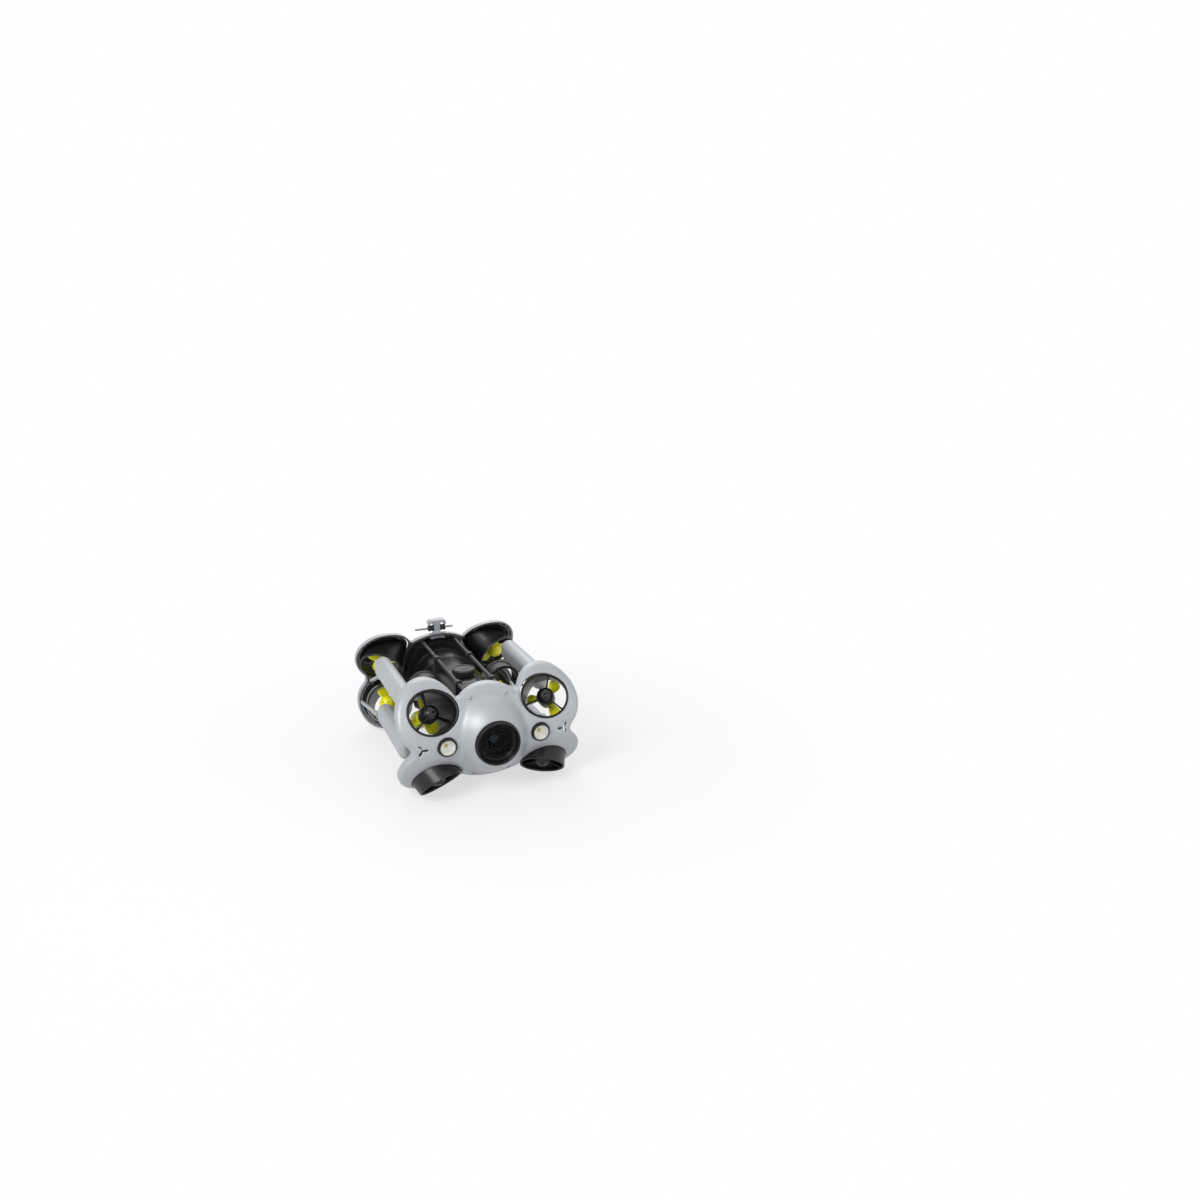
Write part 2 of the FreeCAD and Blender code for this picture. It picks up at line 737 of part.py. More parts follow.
def conduit_clip(side, y):
    """Ring on a foot that holds a conduit off the hull."""
    start = y - clip_length / 2.0
    end = y + clip_length / 2.0
    outer = rod_r + clip_wall
    shape = y_cylinder(outer, start, end, rod_x * side, rod_z)
    foot = Part.makeBox(2.0 * outer, clip_length, rod_z, V(rod_x * side - outer, start, 0))
    shape = shape.fuse(foot)
    shape = shape.cut(y_cylinder(rod_r + running_gap, -half_length, half_length, rod_x * side, rod_z))
    return shape.cut(y_cylinder(hull_r + running_gap, -half_length, half_length))


def saddle(side):
    """Arched bracket from the hull shoulder to the inner side of an upper beam."""
    x = saddle_x * side

    def arch(start, end, grow):
        ring = y_cylinder(saddle_r + grow, start, end, x, saddle_z)
        hollow = y_cylinder(saddle_r - saddle_wall, start - 1.0, end + 1.0, x, saddle_z)
        below = Part.makeBox(400.0, end - start + 2.0, 100.0, V(-200.0, start - 1.0, saddle_z - 100.0 - saddle_drop))
        return ring.cut(hollow).cut(below)

    shape = arch(saddle_start, saddle_end, 0.0)
    shape = shape.fuse(arch(saddle_start, saddle_start + 3.0, saddle_lip))
    shape = shape.fuse(arch(saddle_end - 3.0, saddle_end, saddle_lip))
    tab_x = x + side * (saddle_r - saddle_wall)
    tab_end = (beam_x - beam_r + 2.0) * side
    tab = Part.makeBox(abs(tab_end - tab_x), saddle_end - saddle_start, saddle_wall * 2.0,
                       V(min(tab_x, tab_end), saddle_start, saddle_z - saddle_drop))
    shape = shape.fuse(tab)
    shape = shape.cut(y_cylinder(hull_r + running_gap, -half_length, half_length))
    keep = obround(-half_length, half_length, beam_x * side, beam_upper_z, beam_r + running_gap, beam_rise)
    return shape.cut(keep)


def port_cap():
    """Ribbed cover of the service port, closed by a quarter turn."""
    cap = Part.makeCylinder(port_cap_r, port_cap_height, V(0, port_y, port_seat))
    step = 360.0 / port_ribs
    for k in range(port_ribs):
        angle = math.radians(step * k)
        x = port_cap_r * math.cos(angle)
        y = port_y + port_cap_r * math.sin(angle)
        cap = cap.cut(Part.makeCylinder(0.9, port_cap_height - 2.0, V(x, y, port_seat)))
    room = Part.makeCylinder(port_neck_r + running_gap, port_cap_height - 2.2, V(0, port_y, port_seat - 0.1))
    cap = cap.cut(room)
    return cap.cut(Part.makeCylinder(port_cap_r - 4.0, 1.0, V(0, port_y, port_seat + port_cap_height - 0.8)))


def bracket_prism(half_points, start, end):
    """Plate across the vehicle from the left half of its outline, between two depths."""
    points = half_points + [V(-p.x, 0, p.z) for p in reversed(half_points)]
    face = Part.Face(Part.makePolygon(points + [points[0]]))
    face.translate(V(0, start, 0))
    return face.extrude(V(0, end - start, 0))


def stem_points(grow):
    """Left half of the flared stem of the bracket, widened by grow."""
    foot = -bracket_foot - grow
    stem = -bracket_stem - grow
    top = bracket_top - bracket_bar
    low = cap_r + bracket_foot_rise + grow
    return [V(foot, 0, cap_r - bracket_foot_rise), V(foot, 0, low), V(stem, 0, low + bracket_flare), V(stem, 0, top)]


def bracket_seat():
    """Outer radius of the collar that the bracket stands on."""
    return cap_r + fit_gap + collar_wall


def bracket_slot():
    """Opening in the rear shell round the stem of the bracket."""
    slot = bracket_prism(stem_points(fit_gap), bracket_y - fit_gap, bracket_y + bracket_depth + fit_gap)
    return slot.cut(y_cylinder(bracket_seat(), 0.0, half_length))


def tow_bracket():
    """T-shaped bracket with two hooks, standing on the collar of the rear shell."""
    bar_low = bracket_top - bracket_bar
    hook_low = bracket_top - bracket_hook_drop
    inner = -bracket_half + bracket_hook
    chamfer = 0.5 * bracket_bar
    points = stem_points(0.0) + [
        V(inner, 0, bar_low), V(inner, 0, hook_low), V(-bracket_half, 0, hook_low),
        V(-bracket_half, 0, bracket_top - chamfer), V(-bracket_half + chamfer, 0, bracket_top),
    ]
    shape = bracket_prism(points, bracket_y, bracket_y + bracket_depth)
    shape = shape.cut(y_cylinder(bracket_seat() + fit_gap, 0.0, half_length))
    hole = Part.makeCylinder(pin_r + running_gap, 200.0, V(-100, bracket_pin_y(), pin_z()), V(1, 0, 0))
    return shape.cut(hole)


def pin_z():
    return hub_r + roller_clear + roller_r


def bracket_pin_y():
    return bracket_y + bracket_depth / 2.0


def bracket_pin():
    return Part.makeCylinder(pin_r, pin_left + pin_right, V(-pin_left, bracket_pin_y(), pin_z()), V(1, 0, 0))


def bracket_roller(side):
    start = bracket_stem + fit_gap
    length = roller_end - start
    x = start if side > 0 else -roller_end
    roller = Part.makeCylinder(roller_r, length, V(x, bracket_pin_y(), pin_z()), V(1, 0, 0))
    return roller.cut(Part.makeCylinder(pin_r + running_gap, 80.0, V(-40, bracket_pin_y(), pin_z()), V(1, 0, 0)))


def tether_socket():
    """Round connector in the rear dome with a stepped bore, contact pins and a flange."""
    floor = half_length - socket_depth
    body = y_cylinder(socket_r, cap_reach + fit_gap, half_length)
    body = body.fuse(y_cylinder(socket_bore_r + 4.0, hull_half - plug_length, cap_reach + fit_gap + 1.0))
    body = body.cut(y_cylinder(socket_bore_r, floor, half_length))
    body = body.cut(y_cylinder(socket_mouth_r, half_length - socket_mouth, half_length))
    for k in range(socket_pins):
        angle = 2.0 * math.pi * k / socket_pins
        x = socket_pin_circle * math.cos(angle)
        z = socket_pin_circle * math.sin(angle)
        pin_end = half_length - socket_mouth - 2.0
        body = body.fuse(y_cylinder(socket_pin_r, floor - 1.0, pin_end, x, z))
    return body


def group(shapes):
    return Part.makeCompound(shapes)


def build_nodes():
    nodes = {}
    nodes["front_shell"] = front_shell()
    nodes["rear_shell"] = rear_shell()
    for end, end_name in ((-1, "front"), (1, "rear")):
        for side, side_name in ((-1, "left"), (1, "right")):
            nodes["liner_" + end_name + "_" + side_name] = liner(side, end)
            for upper, level_name in ((True, "upper"), (False, "lower")):
                name = end_name + "_" + level_name + "_" + side_name
                nodes["duct_" + name] = duct(side, end, upper)
                nodes["motor_" + name] = on_duct(motor_pod(), side, end, upper)
                nodes["propeller_" + name] = on_duct(propeller(), side, end, upper)
    for upper, level_name in ((True, "upper"), (False, "lower")):
        for side, side_name in ((-1, "left"), (1, "right")):
            nodes["side_beam_" + level_name + "_" + side_name] = side_beam(side, upper)
    nodes["pressure_hull"] = pressure_hull()
    nodes["front_end_cap"] = end_cap(-1)
    nodes["rear_end_cap"] = end_cap(1)
    nodes["seal_rings"] = group([seal_ring(-1), seal_ring(1)])
    nodes["battery_pack"] = battery()
    nodes["electronics_tray"] = electronics()
    nodes["camera_bezel"] = camera_bezel()
    nodes["camera_window"] = camera_window()
    nodes["camera_module"] = camera_module()
    for side, side_name in ((-1, "left"), (1, "right")):
        nodes["lamp_housing_" + side_name] = lamp_housing(side)
        nodes["lamp_reflector_" + side_name] = lamp_reflector(side)
        nodes["lamp_lens_" + side_name] = lamp_lens(side)
        nodes["hull_saddle_" + side_name] = saddle(side)
    nodes["lamp_chips"] = group([lamp_chip(-1), lamp_chip(1)])
    nodes["conduit_rods"] = group([conduit_rod(-1), conduit_rod(1)])
    nodes["conduit_clips"] = group([conduit_clip(s, y) for s in (-1, 1) for y in (-clip_y * 2.4, clip_y)])
    nodes["port_cap"] = port_cap()
    nodes["tow_bracket"] = tow_bracket()
    nodes["bracket_pin"] = bracket_pin()
    nodes["bracket_rollers"] = group([bracket_roller(-1), bracket_roller(1)])
    nodes["tether_socket"] = tether_socket()
    screws = []
    for side in (-1, 1):
        for level in (-1, 1):
            screw = screw_solid(side, level, 0.0)
            screws.append(screw)
            screws.append(mirror_front(screw))
    nodes["flange_screws"] = group(screws)
    return nodes


nodes = build_nodes()
lift = -min(nodes[name].optimalBoundingBox().ZMin for name in nodes if name.startswith("duct_"))
os.makedirs("parts", exist_ok=True)
for name in sorted(nodes):
    shape = nodes[name]
    shape.translate(V(0, 0, lift))
    shape.exportStep("parts/" + name + ".step")
    box = shape.BoundBox
    print(name, len(shape.Solids), shape.isValid(), round(shape.Volume / 1000.0, 2),
          [round(v, 1) for v in (box.XMin, box.XMax, box.YMin, box.YMax, box.ZMin, box.ZMax)])
print("lift", round(lift, 3))
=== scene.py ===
"""Looks of an underwater inspection vehicle, laid out as an add-on and run as a script.

Each piece is a surface worked out with numpy: a function of two parameters on a grid, a profile carried
round an axis, or a height over the plane of an end shell. Shapes are worked out in millimetres in the row
frame, +Z up and nose towards -Y, and turned to metres when a piece is made.
"""

import json
import math
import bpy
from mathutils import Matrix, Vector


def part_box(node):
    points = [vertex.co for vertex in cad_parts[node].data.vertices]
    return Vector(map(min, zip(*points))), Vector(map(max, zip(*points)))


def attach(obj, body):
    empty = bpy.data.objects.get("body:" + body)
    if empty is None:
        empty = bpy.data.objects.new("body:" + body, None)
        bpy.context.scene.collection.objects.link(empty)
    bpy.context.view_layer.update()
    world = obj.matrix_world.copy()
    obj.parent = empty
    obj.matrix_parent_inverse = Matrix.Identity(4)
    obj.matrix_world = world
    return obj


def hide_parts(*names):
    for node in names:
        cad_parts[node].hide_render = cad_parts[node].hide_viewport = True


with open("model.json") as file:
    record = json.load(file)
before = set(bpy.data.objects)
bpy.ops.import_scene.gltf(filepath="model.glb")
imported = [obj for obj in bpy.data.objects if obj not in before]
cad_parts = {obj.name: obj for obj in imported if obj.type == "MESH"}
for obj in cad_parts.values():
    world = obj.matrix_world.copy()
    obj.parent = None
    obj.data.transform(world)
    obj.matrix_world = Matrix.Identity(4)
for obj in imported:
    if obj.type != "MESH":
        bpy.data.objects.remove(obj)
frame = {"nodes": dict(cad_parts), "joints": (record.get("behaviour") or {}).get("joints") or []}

from types import SimpleNamespace

import bmesh
import bpy
import numpy as np
from bpy.props import FloatProperty, FloatVectorProperty, IntProperty, PointerProperty
from mathutils import Vector
from mathutils.geometry import delaunay_2d_cdt

bl_info = {
    "name": "Inspection Vehicle Looks",
    "version": (1, 0, 0),
    "blender": (4, 5, 0),
    "location": "View3D > Sidebar > Vehicle",
    "description": "Builds the dressed pieces of an underwater inspection vehicle around its frame",
    "category": "Object",
}

MM = 0.001                      # shapes are worked out in millimetres and turned to metres by make_piece
ROOT_BODY = "vehicle"
ENDS = {"front": -1, "rear": 1}
LEVELS = {"upper": 1, "lower": -1}
SIDES = {"left": -1, "right": 1}
FIT_GAP = 0.3                   # clearance between nested pieces


def box(node):
    """Low and high corner of a node of the frame, in millimetres."""
    return [np.array(corner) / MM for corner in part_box(node)]


def node_middle(node):
    return sum(box(node)) / 2


def round_node(node):
    """Radius, depth and front middle of a node that is round about a line along Y."""
    low, high = box(node)
    return (high[0] - low[0]) / 2, high[1] - low[1], (low[0] / 2 + high[0] / 2, low[1], AXIS_Z)


AXIS_Z = float(node_middle("front_end_cap")[2])     # height of the long axis


# ---- sizes and colours ---------------------------------------------------------------------

def length(text, default, description):
    """Length property in metres, from a default in millimetres."""
    return FloatProperty(name=text, description=description, default=default * MM, unit="LENGTH", precision=5)


def plane_place(text, default, description):
    """Distance from the middle plane and height over the long axis, from a default in millimetres."""
    return FloatVectorProperty(name=text, description=description, default=[v * MM for v in default], size=2,
                               subtype="XYZ", unit="LENGTH")


def paint(text, default, description):
    """Colour property from a display colour."""
    return FloatVectorProperty(name=text, description=description, default=default, subtype="COLOR_GAMMA",
                               size=3, min=0.0, max=1.0)


class VehicleShellSizes(bpy.types.PropertyGroup):
    web_reach: length("Web reach", 171.0, "Middle of the vehicle to the flattest part of an end shell")
    web_curve: FloatProperty(name="Web curve", default=7.4,
                             description="Fall of the shell above and below the axis, per metre")
    wrap_start: length("Wrap start", 90.0, "Distance from the middle plane where the side wrap begins")
    wrap_depth: length("Wrap depth", 5.0, "Extra fall of the surface at the outer edge")
    wall: length("Wall", 3.0, "Thickness of the skin")
    skirt_depth: length("Skirt depth", 15.0, "Depth of the rim wall")
    skirt_wall: length("Skirt wall", 2.6, "Thickness of the rim wall")
    edge_round: length("Edge round", 5.0, "Radius of the soft outer edge")
    upper_lobe: plane_place("Upper lobe", (87.0, 37.5), "Middle of an upper lobe in the end plane")
    upper_lobe_r: length("Upper lobe radius", 46.5, "Radius of an upper lobe")
    lower_lobe: plane_place("Lower lobe", (98.0, -40.5), "Middle of a lower lobe in the end plane")
    lower_lobe_r: length("Lower lobe radius", 36.0, "Radius of a lower lobe")
    hub_r: length("Hub radius", 71.0, "Radius of the round flange in the middle of a shell")
    waist_fillet: length("Waist fillet", 12.0, "Radius between the two lobes of a side")
    notch_fillet: length("Notch fillet", 5.0, "Radius between the hub and an upper lobe")
    under_fillet: length("Under fillet", 25.0, "Radius between the hub and a lower lobe")
    dome_r: length("Dome radius", 60.0, "Radius of the dome round the camera")
    dome_reach: length("Dome middle", 134.0, "Middle of the vehicle to the middle of the dome")
    dome_blend: length("Dome blend", 7.0, "Height of the blend between dome and web")
    band_step: length("Band step", 1.0, "Step between the flange band and the dome")
    notch_x: length("Notch place", 47.0, "Middle plane to the notch between the hub and an upper lobe")
    mark_x: length("Mark place", 104.0, "Middle plane to the three-armed opening")
    plate_back: length("Plate depth", 9.0, "Shell surface to the black plate behind it")
    plate_edge: length("Plate edge", 8.6, "Shell outline to the edge of the black plate")
    plate_wall: length("Plate wall", 2.4, "Thickness of a black plate")
    plate_lip: length("Plate lip", 2.2, "Height of the lips on a black plate")
    waist_boss: plane_place("Waist boss", (109.0, -7.5), "Middle of the two bosses in the waist of a shell")
    waist_spread: length("Boss spread", 3.4, "Each boss of the pair above or below their middle")
    lobe_boss: plane_place("Lobe boss", (127.8, -38.0), "Boss in a lower lobe")


class VehicleThrusterSizes(bpy.types.PropertyGroup):
    rim_from_hinge: length("Rim from hinge", 31.5, "Rim centre in front of the middle of the propeller")
    outer_r: length("Duct radius", 33.0, "Outer radius of a duct")
    bore: length("Duct bore", 30.0, "Inner radius of a duct")
    depth: length("Duct depth", 44.0, "Rim centre to the inner mouth")
    pod_r: length("Pod radius", 11.0, "Radius of a motor pod")
    pod_length: length("Pod length", 24.0, "Length of a motor pod")
    shaft_r: length("Shaft radius", 2.5, "Radius of a propeller shaft")
    struts: IntProperty(name="Struts", default=3, min=2, max=6,
                        description="Struts that hold a motor in its duct")
    strut_turn: FloatProperty(name="Strut turn", description="Angle of the first strut", subtype="ANGLE",
                              default=math.radians(25.0))
    sleeve_start: length("Sleeve start", 5.0, "Rim centre to the front of the motor sleeve")
    sleeve_end: length("Sleeve end", 21.0, "Rim centre to the back of the motor sleeve")
    hub_r: length("Hub radius", 12.5, "Radius of a propeller hub")
    hub_length: length("Hub length", 13.0, "Length of a propeller hub")
    spinner: length("Spinner length", 12.0, "Height of the domed spinner")
    tip_r: length("Tip radius", 28.8, "Radius over the blade tips")
    blades: IntProperty(name="Blades", description="Blades of a propeller", default=3, min=2, max=8)


class VehicleBeamSizes(bpy.types.PropertyGroup):
    across: length("Beam place", 103.7, "Middle plane to the middle of a side beam")
    upper_z: length("Upper beams", 43.0, "Long axis up to the middle of an upper beam")
    lower_z: length("Lower beams", -36.0, "Long axis down to the middle of a lower beam")
    width: length("Beam width", 26.0, "Width of a side beam")
    height: length("Beam height", 34.0, "Height of a side beam")
    half: length("Half length", 82.0, "Middle to the end of a side beam")
    end_round: length("End round", 11.0, "Radius of the ends of a beam")
    arm_r: length("Arm radius", 3.2, "Radius of an arm at its foot")
    arm_end: length("Arm end", 146.6, "Middle of the vehicle to the end of an arm in the waist")


class VehicleFittingSizes(bpy.types.PropertyGroup):
    rod: plane_place("Conduit place", (26.0, 57.1), "Middle of a conduit across and above the long axis")
    rod_r: length("Conduit radius", 3.0, "Radius of a conduit")
    rod_ring: length("Ring place", 134.0, "Middle of the vehicle to the ring at the end of a conduit")
    screw: plane_place("Screw place", (26.6, 57.0), "Middle of a flange screw across and above the long axis")
    port_y: length("Port place", -22.0, "Middle of the service port along the vehicle")
    hull_wall: length("Hull wall", 3.0, "Thickness of the pressure hull")
    saddle: plane_place("Saddle arc", (60.0, 31.5), "Middle of the arc of a saddle")
    saddle_r: length("Saddle radius", 23.5, "Radius of the arc of a saddle")
    bracket_foot: length("Bracket foot", 59.9, "Radius of the shell ring under the foot of the bracket")


class VehicleColours(bpy.types.PropertyGroup):
    silver: paint("Silver", (0.70, 0.71, 0.725), "Shells and beams")
    black: paint("Black", (0.075, 0.078, 0.085), "Ducts and pods")
    hull: paint("Hull", (0.11, 0.113, 0.12), "Pressure hull")
    yellow: paint("Yellow", (1.0, 0.99, 0.16), "Propellers")
    floor: paint("Floor", (0.97, 0.97, 0.97), "Floor and backdrop")


def sizes(group_name):
    """The values of one group, with its lengths in millimetres."""
    group = getattr(bpy.context.scene.vehicle_sizes, group_name)
    values = SimpleNamespace()
    for name in group.__annotations__:
        value = getattr(group, name)
        is_length = getattr(group.bl_rna.properties[name], "unit", "NONE") == "LENGTH"
        setattr(values, name, np.array(value) / MM if is_length else value)
    return values


# ---- meshes --------------------------------------------------------------------------------

def unit(v):
    v = np.asarray(v, float)
    return v / np.linalg.norm(v)


def smooth(x):
    """Smooth step from 0 to 1 as x goes from 0 to 1."""
    x = np.clip(x, 0.0, 1.0)
    return x * x * (3.0 - 2.0 * x)


def grid(points, close_u=False, close_v=False):
    """Vertices and quads of a grid of points of shape (rows, columns, 3)."""
    rows, columns = points.shape[:2]
    index = np.arange(rows * columns).reshape(rows, columns)
    if close_u:
        index = np.vstack([index, index[:1]])
    if close_v:
        index = np.hstack([index, index[:, :1]])
    quads = np.stack([index[:-1, :-1], index[:-1, 1:], index[1:, 1:], index[1:, :-1]], -1)
    return points.reshape(-1, 3), quads.reshape(-1, 4)


def capped(points):
    """Tube of closed rows with its first and last row closed by a point in their middle."""
    first = np.repeat(points[:1].mean(1, keepdims=True), points.shape[1], 1)
    last = np.repeat(points[-1:].mean(1, keepdims=True), points.shape[1], 1)
    return grid(np.concatenate([first, points, last]), close_v=True)


def make_piece(name, patches, node, material, body=ROOT_BODY, sharp=32.0):
    """Object of one mesh from patches of (vertices, faces), merged, closed and facing outwards.

    It stands for a node of the frame, or for none, and edges bent by more than sharp degrees are drawn sharp.
    """
    mesh = bpy.data.meshes.new(name)
    vertices, faces, start = [], [], 0
    for points, polygons in patches:
        vertices.append(points)
        faces += (np.asarray(polygons) + start).tolist()
        start += len(points)
    mesh.from_pydata((np.concatenate(vertices) * MM).tolist(), [], faces)
    work = bmesh.new()
    work.from_mesh(mesh)
    bmesh.ops.remove_doubles(work, verts=work.verts, dist=2e-6)
    bmesh.ops.dissolve_degenerate(work, edges=work.edges, dist=1e-7)
    bmesh.ops.recalc_face_normals(work, faces=work.faces)
    work.to_mesh(mesh)
    work.free()
    mesh.shade_smooth()
    mesh.set_sharp_from_angle(angle=math.radians(sharp))
    piece = bpy.data.objects.new(name, mesh)
    bpy.context.scene.collection.objects.link(piece)
    mesh.materials.append(material)
    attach(piece, body)
    if node:
        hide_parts(node)


def rounded(corners, radius, steps=4):
    """Open polyline with each inner corner replaced by a short curve of about that radius."""
    corners = np.asarray(corners, float)
    radii = np.broadcast_to(radius, len(corners))
    out = [corners[:1]]
    share = np.linspace(0.0, 1.0, steps + 1)[:, None]
    for before, here, after, r in zip(corners[:-2], corners[1:-1], corners[2:], radii[1:-1]):
        back, ahead = before - here, after - here
        reach_back = min(r, 0.45 * np.linalg.norm(back))
        reach_ahead = min(r, 0.45 * np.linalg.norm(ahead))
        a = here + unit(back) * reach_back
        b = here + unit(ahead) * reach_ahead
        out.append((1 - share) ** 2 * a + 2 * share * (1 - share) * here + share ** 2 * b)
    out.append(corners[-1:])
    return np.concatenate(out)


def rounded_loop(corners, radius, steps=4):
    """Closed polyline with every corner rounded; the first point isn't repeated."""
    corners = np.asarray(corners, float)
    middle = (corners[0] + corners[-1]) / 2
    return rounded(np.vstack([middle, corners, middle]), radius, steps)[:-1]


def side_axes(axis):
    """Two unit vectors square to an axis, the first one level."""
    level = unit(np.cross(axis, (0.0, 0.0, 1.0))) if abs(axis[2]) < 0.99 else np.array([1.0, 0.0, 0.0])
    return level, np.cross(axis, level)


def turned(profile, origin, axis, segments=96, closed=False, waves=None):
    """Profile rows of (place along the axis, radius) carried round an axis. waves adds to the radius."""
    profile = np.asarray(profile, float)
    e1, e2 = side_axes(unit(axis))
    angle = np.linspace(0, 2 * math.pi, segments, endpoint=False)
    ring = np.cos(angle)[:, None] * e1 + np.sin(angle)[:, None] * e2
    radius = np.repeat(profile[:, 1][:, None], segments, 1)
    if waves is not None:
        radius = np.maximum(radius + waves(profile[:, 0][:, None], angle[None, :], radius), 0.0)
    points = np.asarray(origin) + profile[:, 0][:, None, None] * unit(axis) + radius[..., None] * ring
    return grid(points, close_u=closed, close_v=True)


def bar(start, end, radii, segments=32):
    """Round bar between two points whose radius follows the given values, closed at both ends."""
    start, end = np.asarray(start, float), np.asarray(end, float)
    along = end - start
    reach = np.linalg.norm(along)
    stations = np.linspace(0.0, reach, len(radii))
    e1, e2 = side_axes(along / reach)
    angle = np.linspace(0, 2 * math.pi, segments, endpoint=False)
    ring = np.cos(angle)[:, None] * e1 + np.sin(angle)[:, None] * e2
    points = start + stations[:, None, None] * along / reach + np.asarray(radii)[:, None, None] * ring
    return capped(points)


def slab(outline, y0, y1, bevel=0.6):
    """Plate between two depths with a rounded edge, from a closed outline of (x, z) points."""
    inward = inset(outline, bevel)
    half = inset(outline, 0.3 * bevel)
    rows = [(inward, y0), (half, y0 + 0.3 * bevel), (outline, y0 + bevel),
            (outline, y1 - bevel), (half, y1 - 0.3 * bevel), (inward, y1)]
    points = np.stack([np.column_stack([o[:, 0], np.full(len(o), y), o[:, 1]]) for o, y in rows])
    flat, cells = plane_cells([inward], [], 0)
    lids = [(np.column_stack([flat[:, 0], np.full(len(flat), y), flat[:, 1]]), cells) for y in (y0, y1)]
    return [grid(points, close_v=True), *lids]


def inset(outline, amount):
    """Closed outline moved inwards along its own normals."""
    ahead = np.roll(outline, -1, 0) - np.roll(outline, 1, 0)
    normal = np.column_stack([-ahead[:, 1], ahead[:, 0]]) / np.linalg.norm(ahead, axis=1)[:, None]
    x, z = outline[:, 0], outline[:, 1]
    area = np.sum(x * np.roll(z, -1) - np.roll(x, -1) * z)
    return outline + normal * amount * np.sign(area)


def inside(points, loop):
    """Which points lie inside a closed loop, by counting the edges crossed to the right."""
    a, b = loop, np.roll(loop, -1, 0)
    found = np.zeros(len(points), bool)
    for k in range(0, len(points), 4000):
        p = points[k:k + 4000, None, :]
        spans = (a[:, 1] > p[..., 1]) != (b[:, 1] > p[..., 1])
        rise = np.where(np.abs(b[:, 1] - a[:, 1]) < 1e-15, 1e-15, b[:, 1] - a[:, 1])
        cross = a[:, 0] + (p[..., 1] - a[:, 1]) * (b[:, 0] - a[:, 0]) / rise
        found[k:k + 4000] = (np.sum(spans & (p[..., 0] < cross), 1) % 2) == 1
    return found


def distance(points, loop):
    """Distance of points from a closed loop of short edges."""
    a = loop
    d = np.roll(loop, -1, 0) - a
    out = np.empty(len(points))
    for k in range(0, len(points), 2000):
        p = points[k:k + 2000, None, :] - a
        share = np.clip((p * d).sum(-1) / (d * d).sum(-1), 0.0, 1.0)
        out[k:k + 2000] = np.sqrt(((p - share[..., None] * d) ** 2).sum(-1).min(1))
    return out


def plane_cells(loops, guides, step):
    """Triangles over the plane, inside the first loop and outside the others.

    Guides are extra rows of points that give the surface cells where it bends. A step of 0 adds no
    points of its own between them.
    """
    border = np.concatenate(loops)
    edges, start = [], 0
    for loop in loops:
        k = np.arange(len(loop))
        edges.append(np.column_stack([k, np.roll(k, -1)]) + start)
        start += len(loop)
    free = list(guides)
    if step:
        low, high = border.min(0), border.max(0)
        xs = np.arange(low[0], high[0], step)
        zs = np.arange(low[1], high[1], step * 0.866)
        x, z = np.meshgrid(xs, zs)
        x = x + (np.arange(len(zs)) % 2)[:, None] * step / 2
        fill = np.column_stack([x.ravel(), z.ravel()])
        fill = fill[inside(fill, loops[0])]
        for rows in [border, *guides]:
            fill = fill[nearest(fill, rows) > step * 0.55]
        free.append(fill)
    if free:
        free = np.concatenate(free)
        keep = inside(free, loops[0])
        for loop in loops[1:]:
            keep &= ~inside(free, loop)
        keep &= nearest(free, border) > 0.12
        points = np.concatenate([border, free[keep]])
    else:
        points = border
    made = delaunay_2d_cdt([Vector(p) for p in points], np.concatenate(edges).tolist(), [], 0, 1e-5)
    flat = np.array([tuple(v) for v in made[0]])
    cells = np.array([f for f in made[2] if len(f) == 3])
    centre = flat[cells].mean(1)
    keep = inside(centre, loops[0])
    for loop in loops[1:]:
        keep &= ~inside(centre, loop)
    cells = cells[keep]
    used, packed = np.unique(cells, return_inverse=True)
    return flat[used], packed.reshape(-1, 3)


def nearest(points, others):
    """Distance of each point to the nearest of the other points."""
    out = np.empty(len(points))
    for k in range(0, len(points), 2000):
        d = points[k:k + 2000, None, :] - others[None]
        out[k:k + 2000] = np.sqrt((d * d).sum(-1).min(1))
    return out


def thick_sheet(flat, cells, front, back, place):
    """Closed solid from a triangulated plane, with a front and a back height at each point.

    place turns (x, height, z) arrays into points. Edges that belong to one triangle get a wall.
    """
    sides = np.concatenate([cells[:, [0, 1]], cells[:, [1, 2]], cells[:, [2, 0]]])
    first, times = np.unique(np.sort(sides, 1), axis=0, return_index=True, return_counts=True)[1:]
    a, b = sides[first[times == 1]].T
    heights = [front, 0.7 * front + 0.3 * back, back]
    rows = [place(flat[:, 0], h, flat[:, 1]) for h in heights]
    patches = [(rows[0], cells), (rows[-1], cells[:, ::-1])]
    for upper, lower in zip(rows[:-1], rows[1:]):
        corners = np.stack([upper[a], upper[b], lower[b], lower[a]], 1)
        patches.append((corners.reshape(-1, 3), np.arange(4 * len(a)).reshape(-1, 4)))
    return patches


# ---- the form of an end shell --------------------------------------------------------------

def arc(centre, start, end, step, reverse=False):
    """Points along the shorter or the longer arc from start to end about a centre, end left out."""
    a0 = math.atan2(start[1] - centre[1], start[0] - centre[0])
    a1 = math.atan2(end[1] - centre[1], end[0] - centre[0])
    turn = (a1 - a0) % (2 * math.pi) if reverse else -((a0 - a1) % (2 * math.pi))
    radius = math.hypot(start[0] - centre[0], start[1] - centre[1])
    count = max(3, int(abs(turn) * radius / step))
    angle = a0 + turn * np.arange(count) / count
    return np.column_stack([centre[0] + radius * np.cos(angle), centre[1] + radius * np.sin(angle)])


def circle_meet(a, ra, b, rb, side):
    """Crossing point of two circles, to the left of the line from a to b when side is 1."""
    gap = np.linalg.norm(b - a)
    along = (ra * ra - rb * rb + gap * gap) / (2 * gap)
    height = math.sqrt(max(0.0, ra * ra - along * along))
    d = (b - a) / gap
    return a + d * along + np.array([-d[1], d[0]]) * height * side


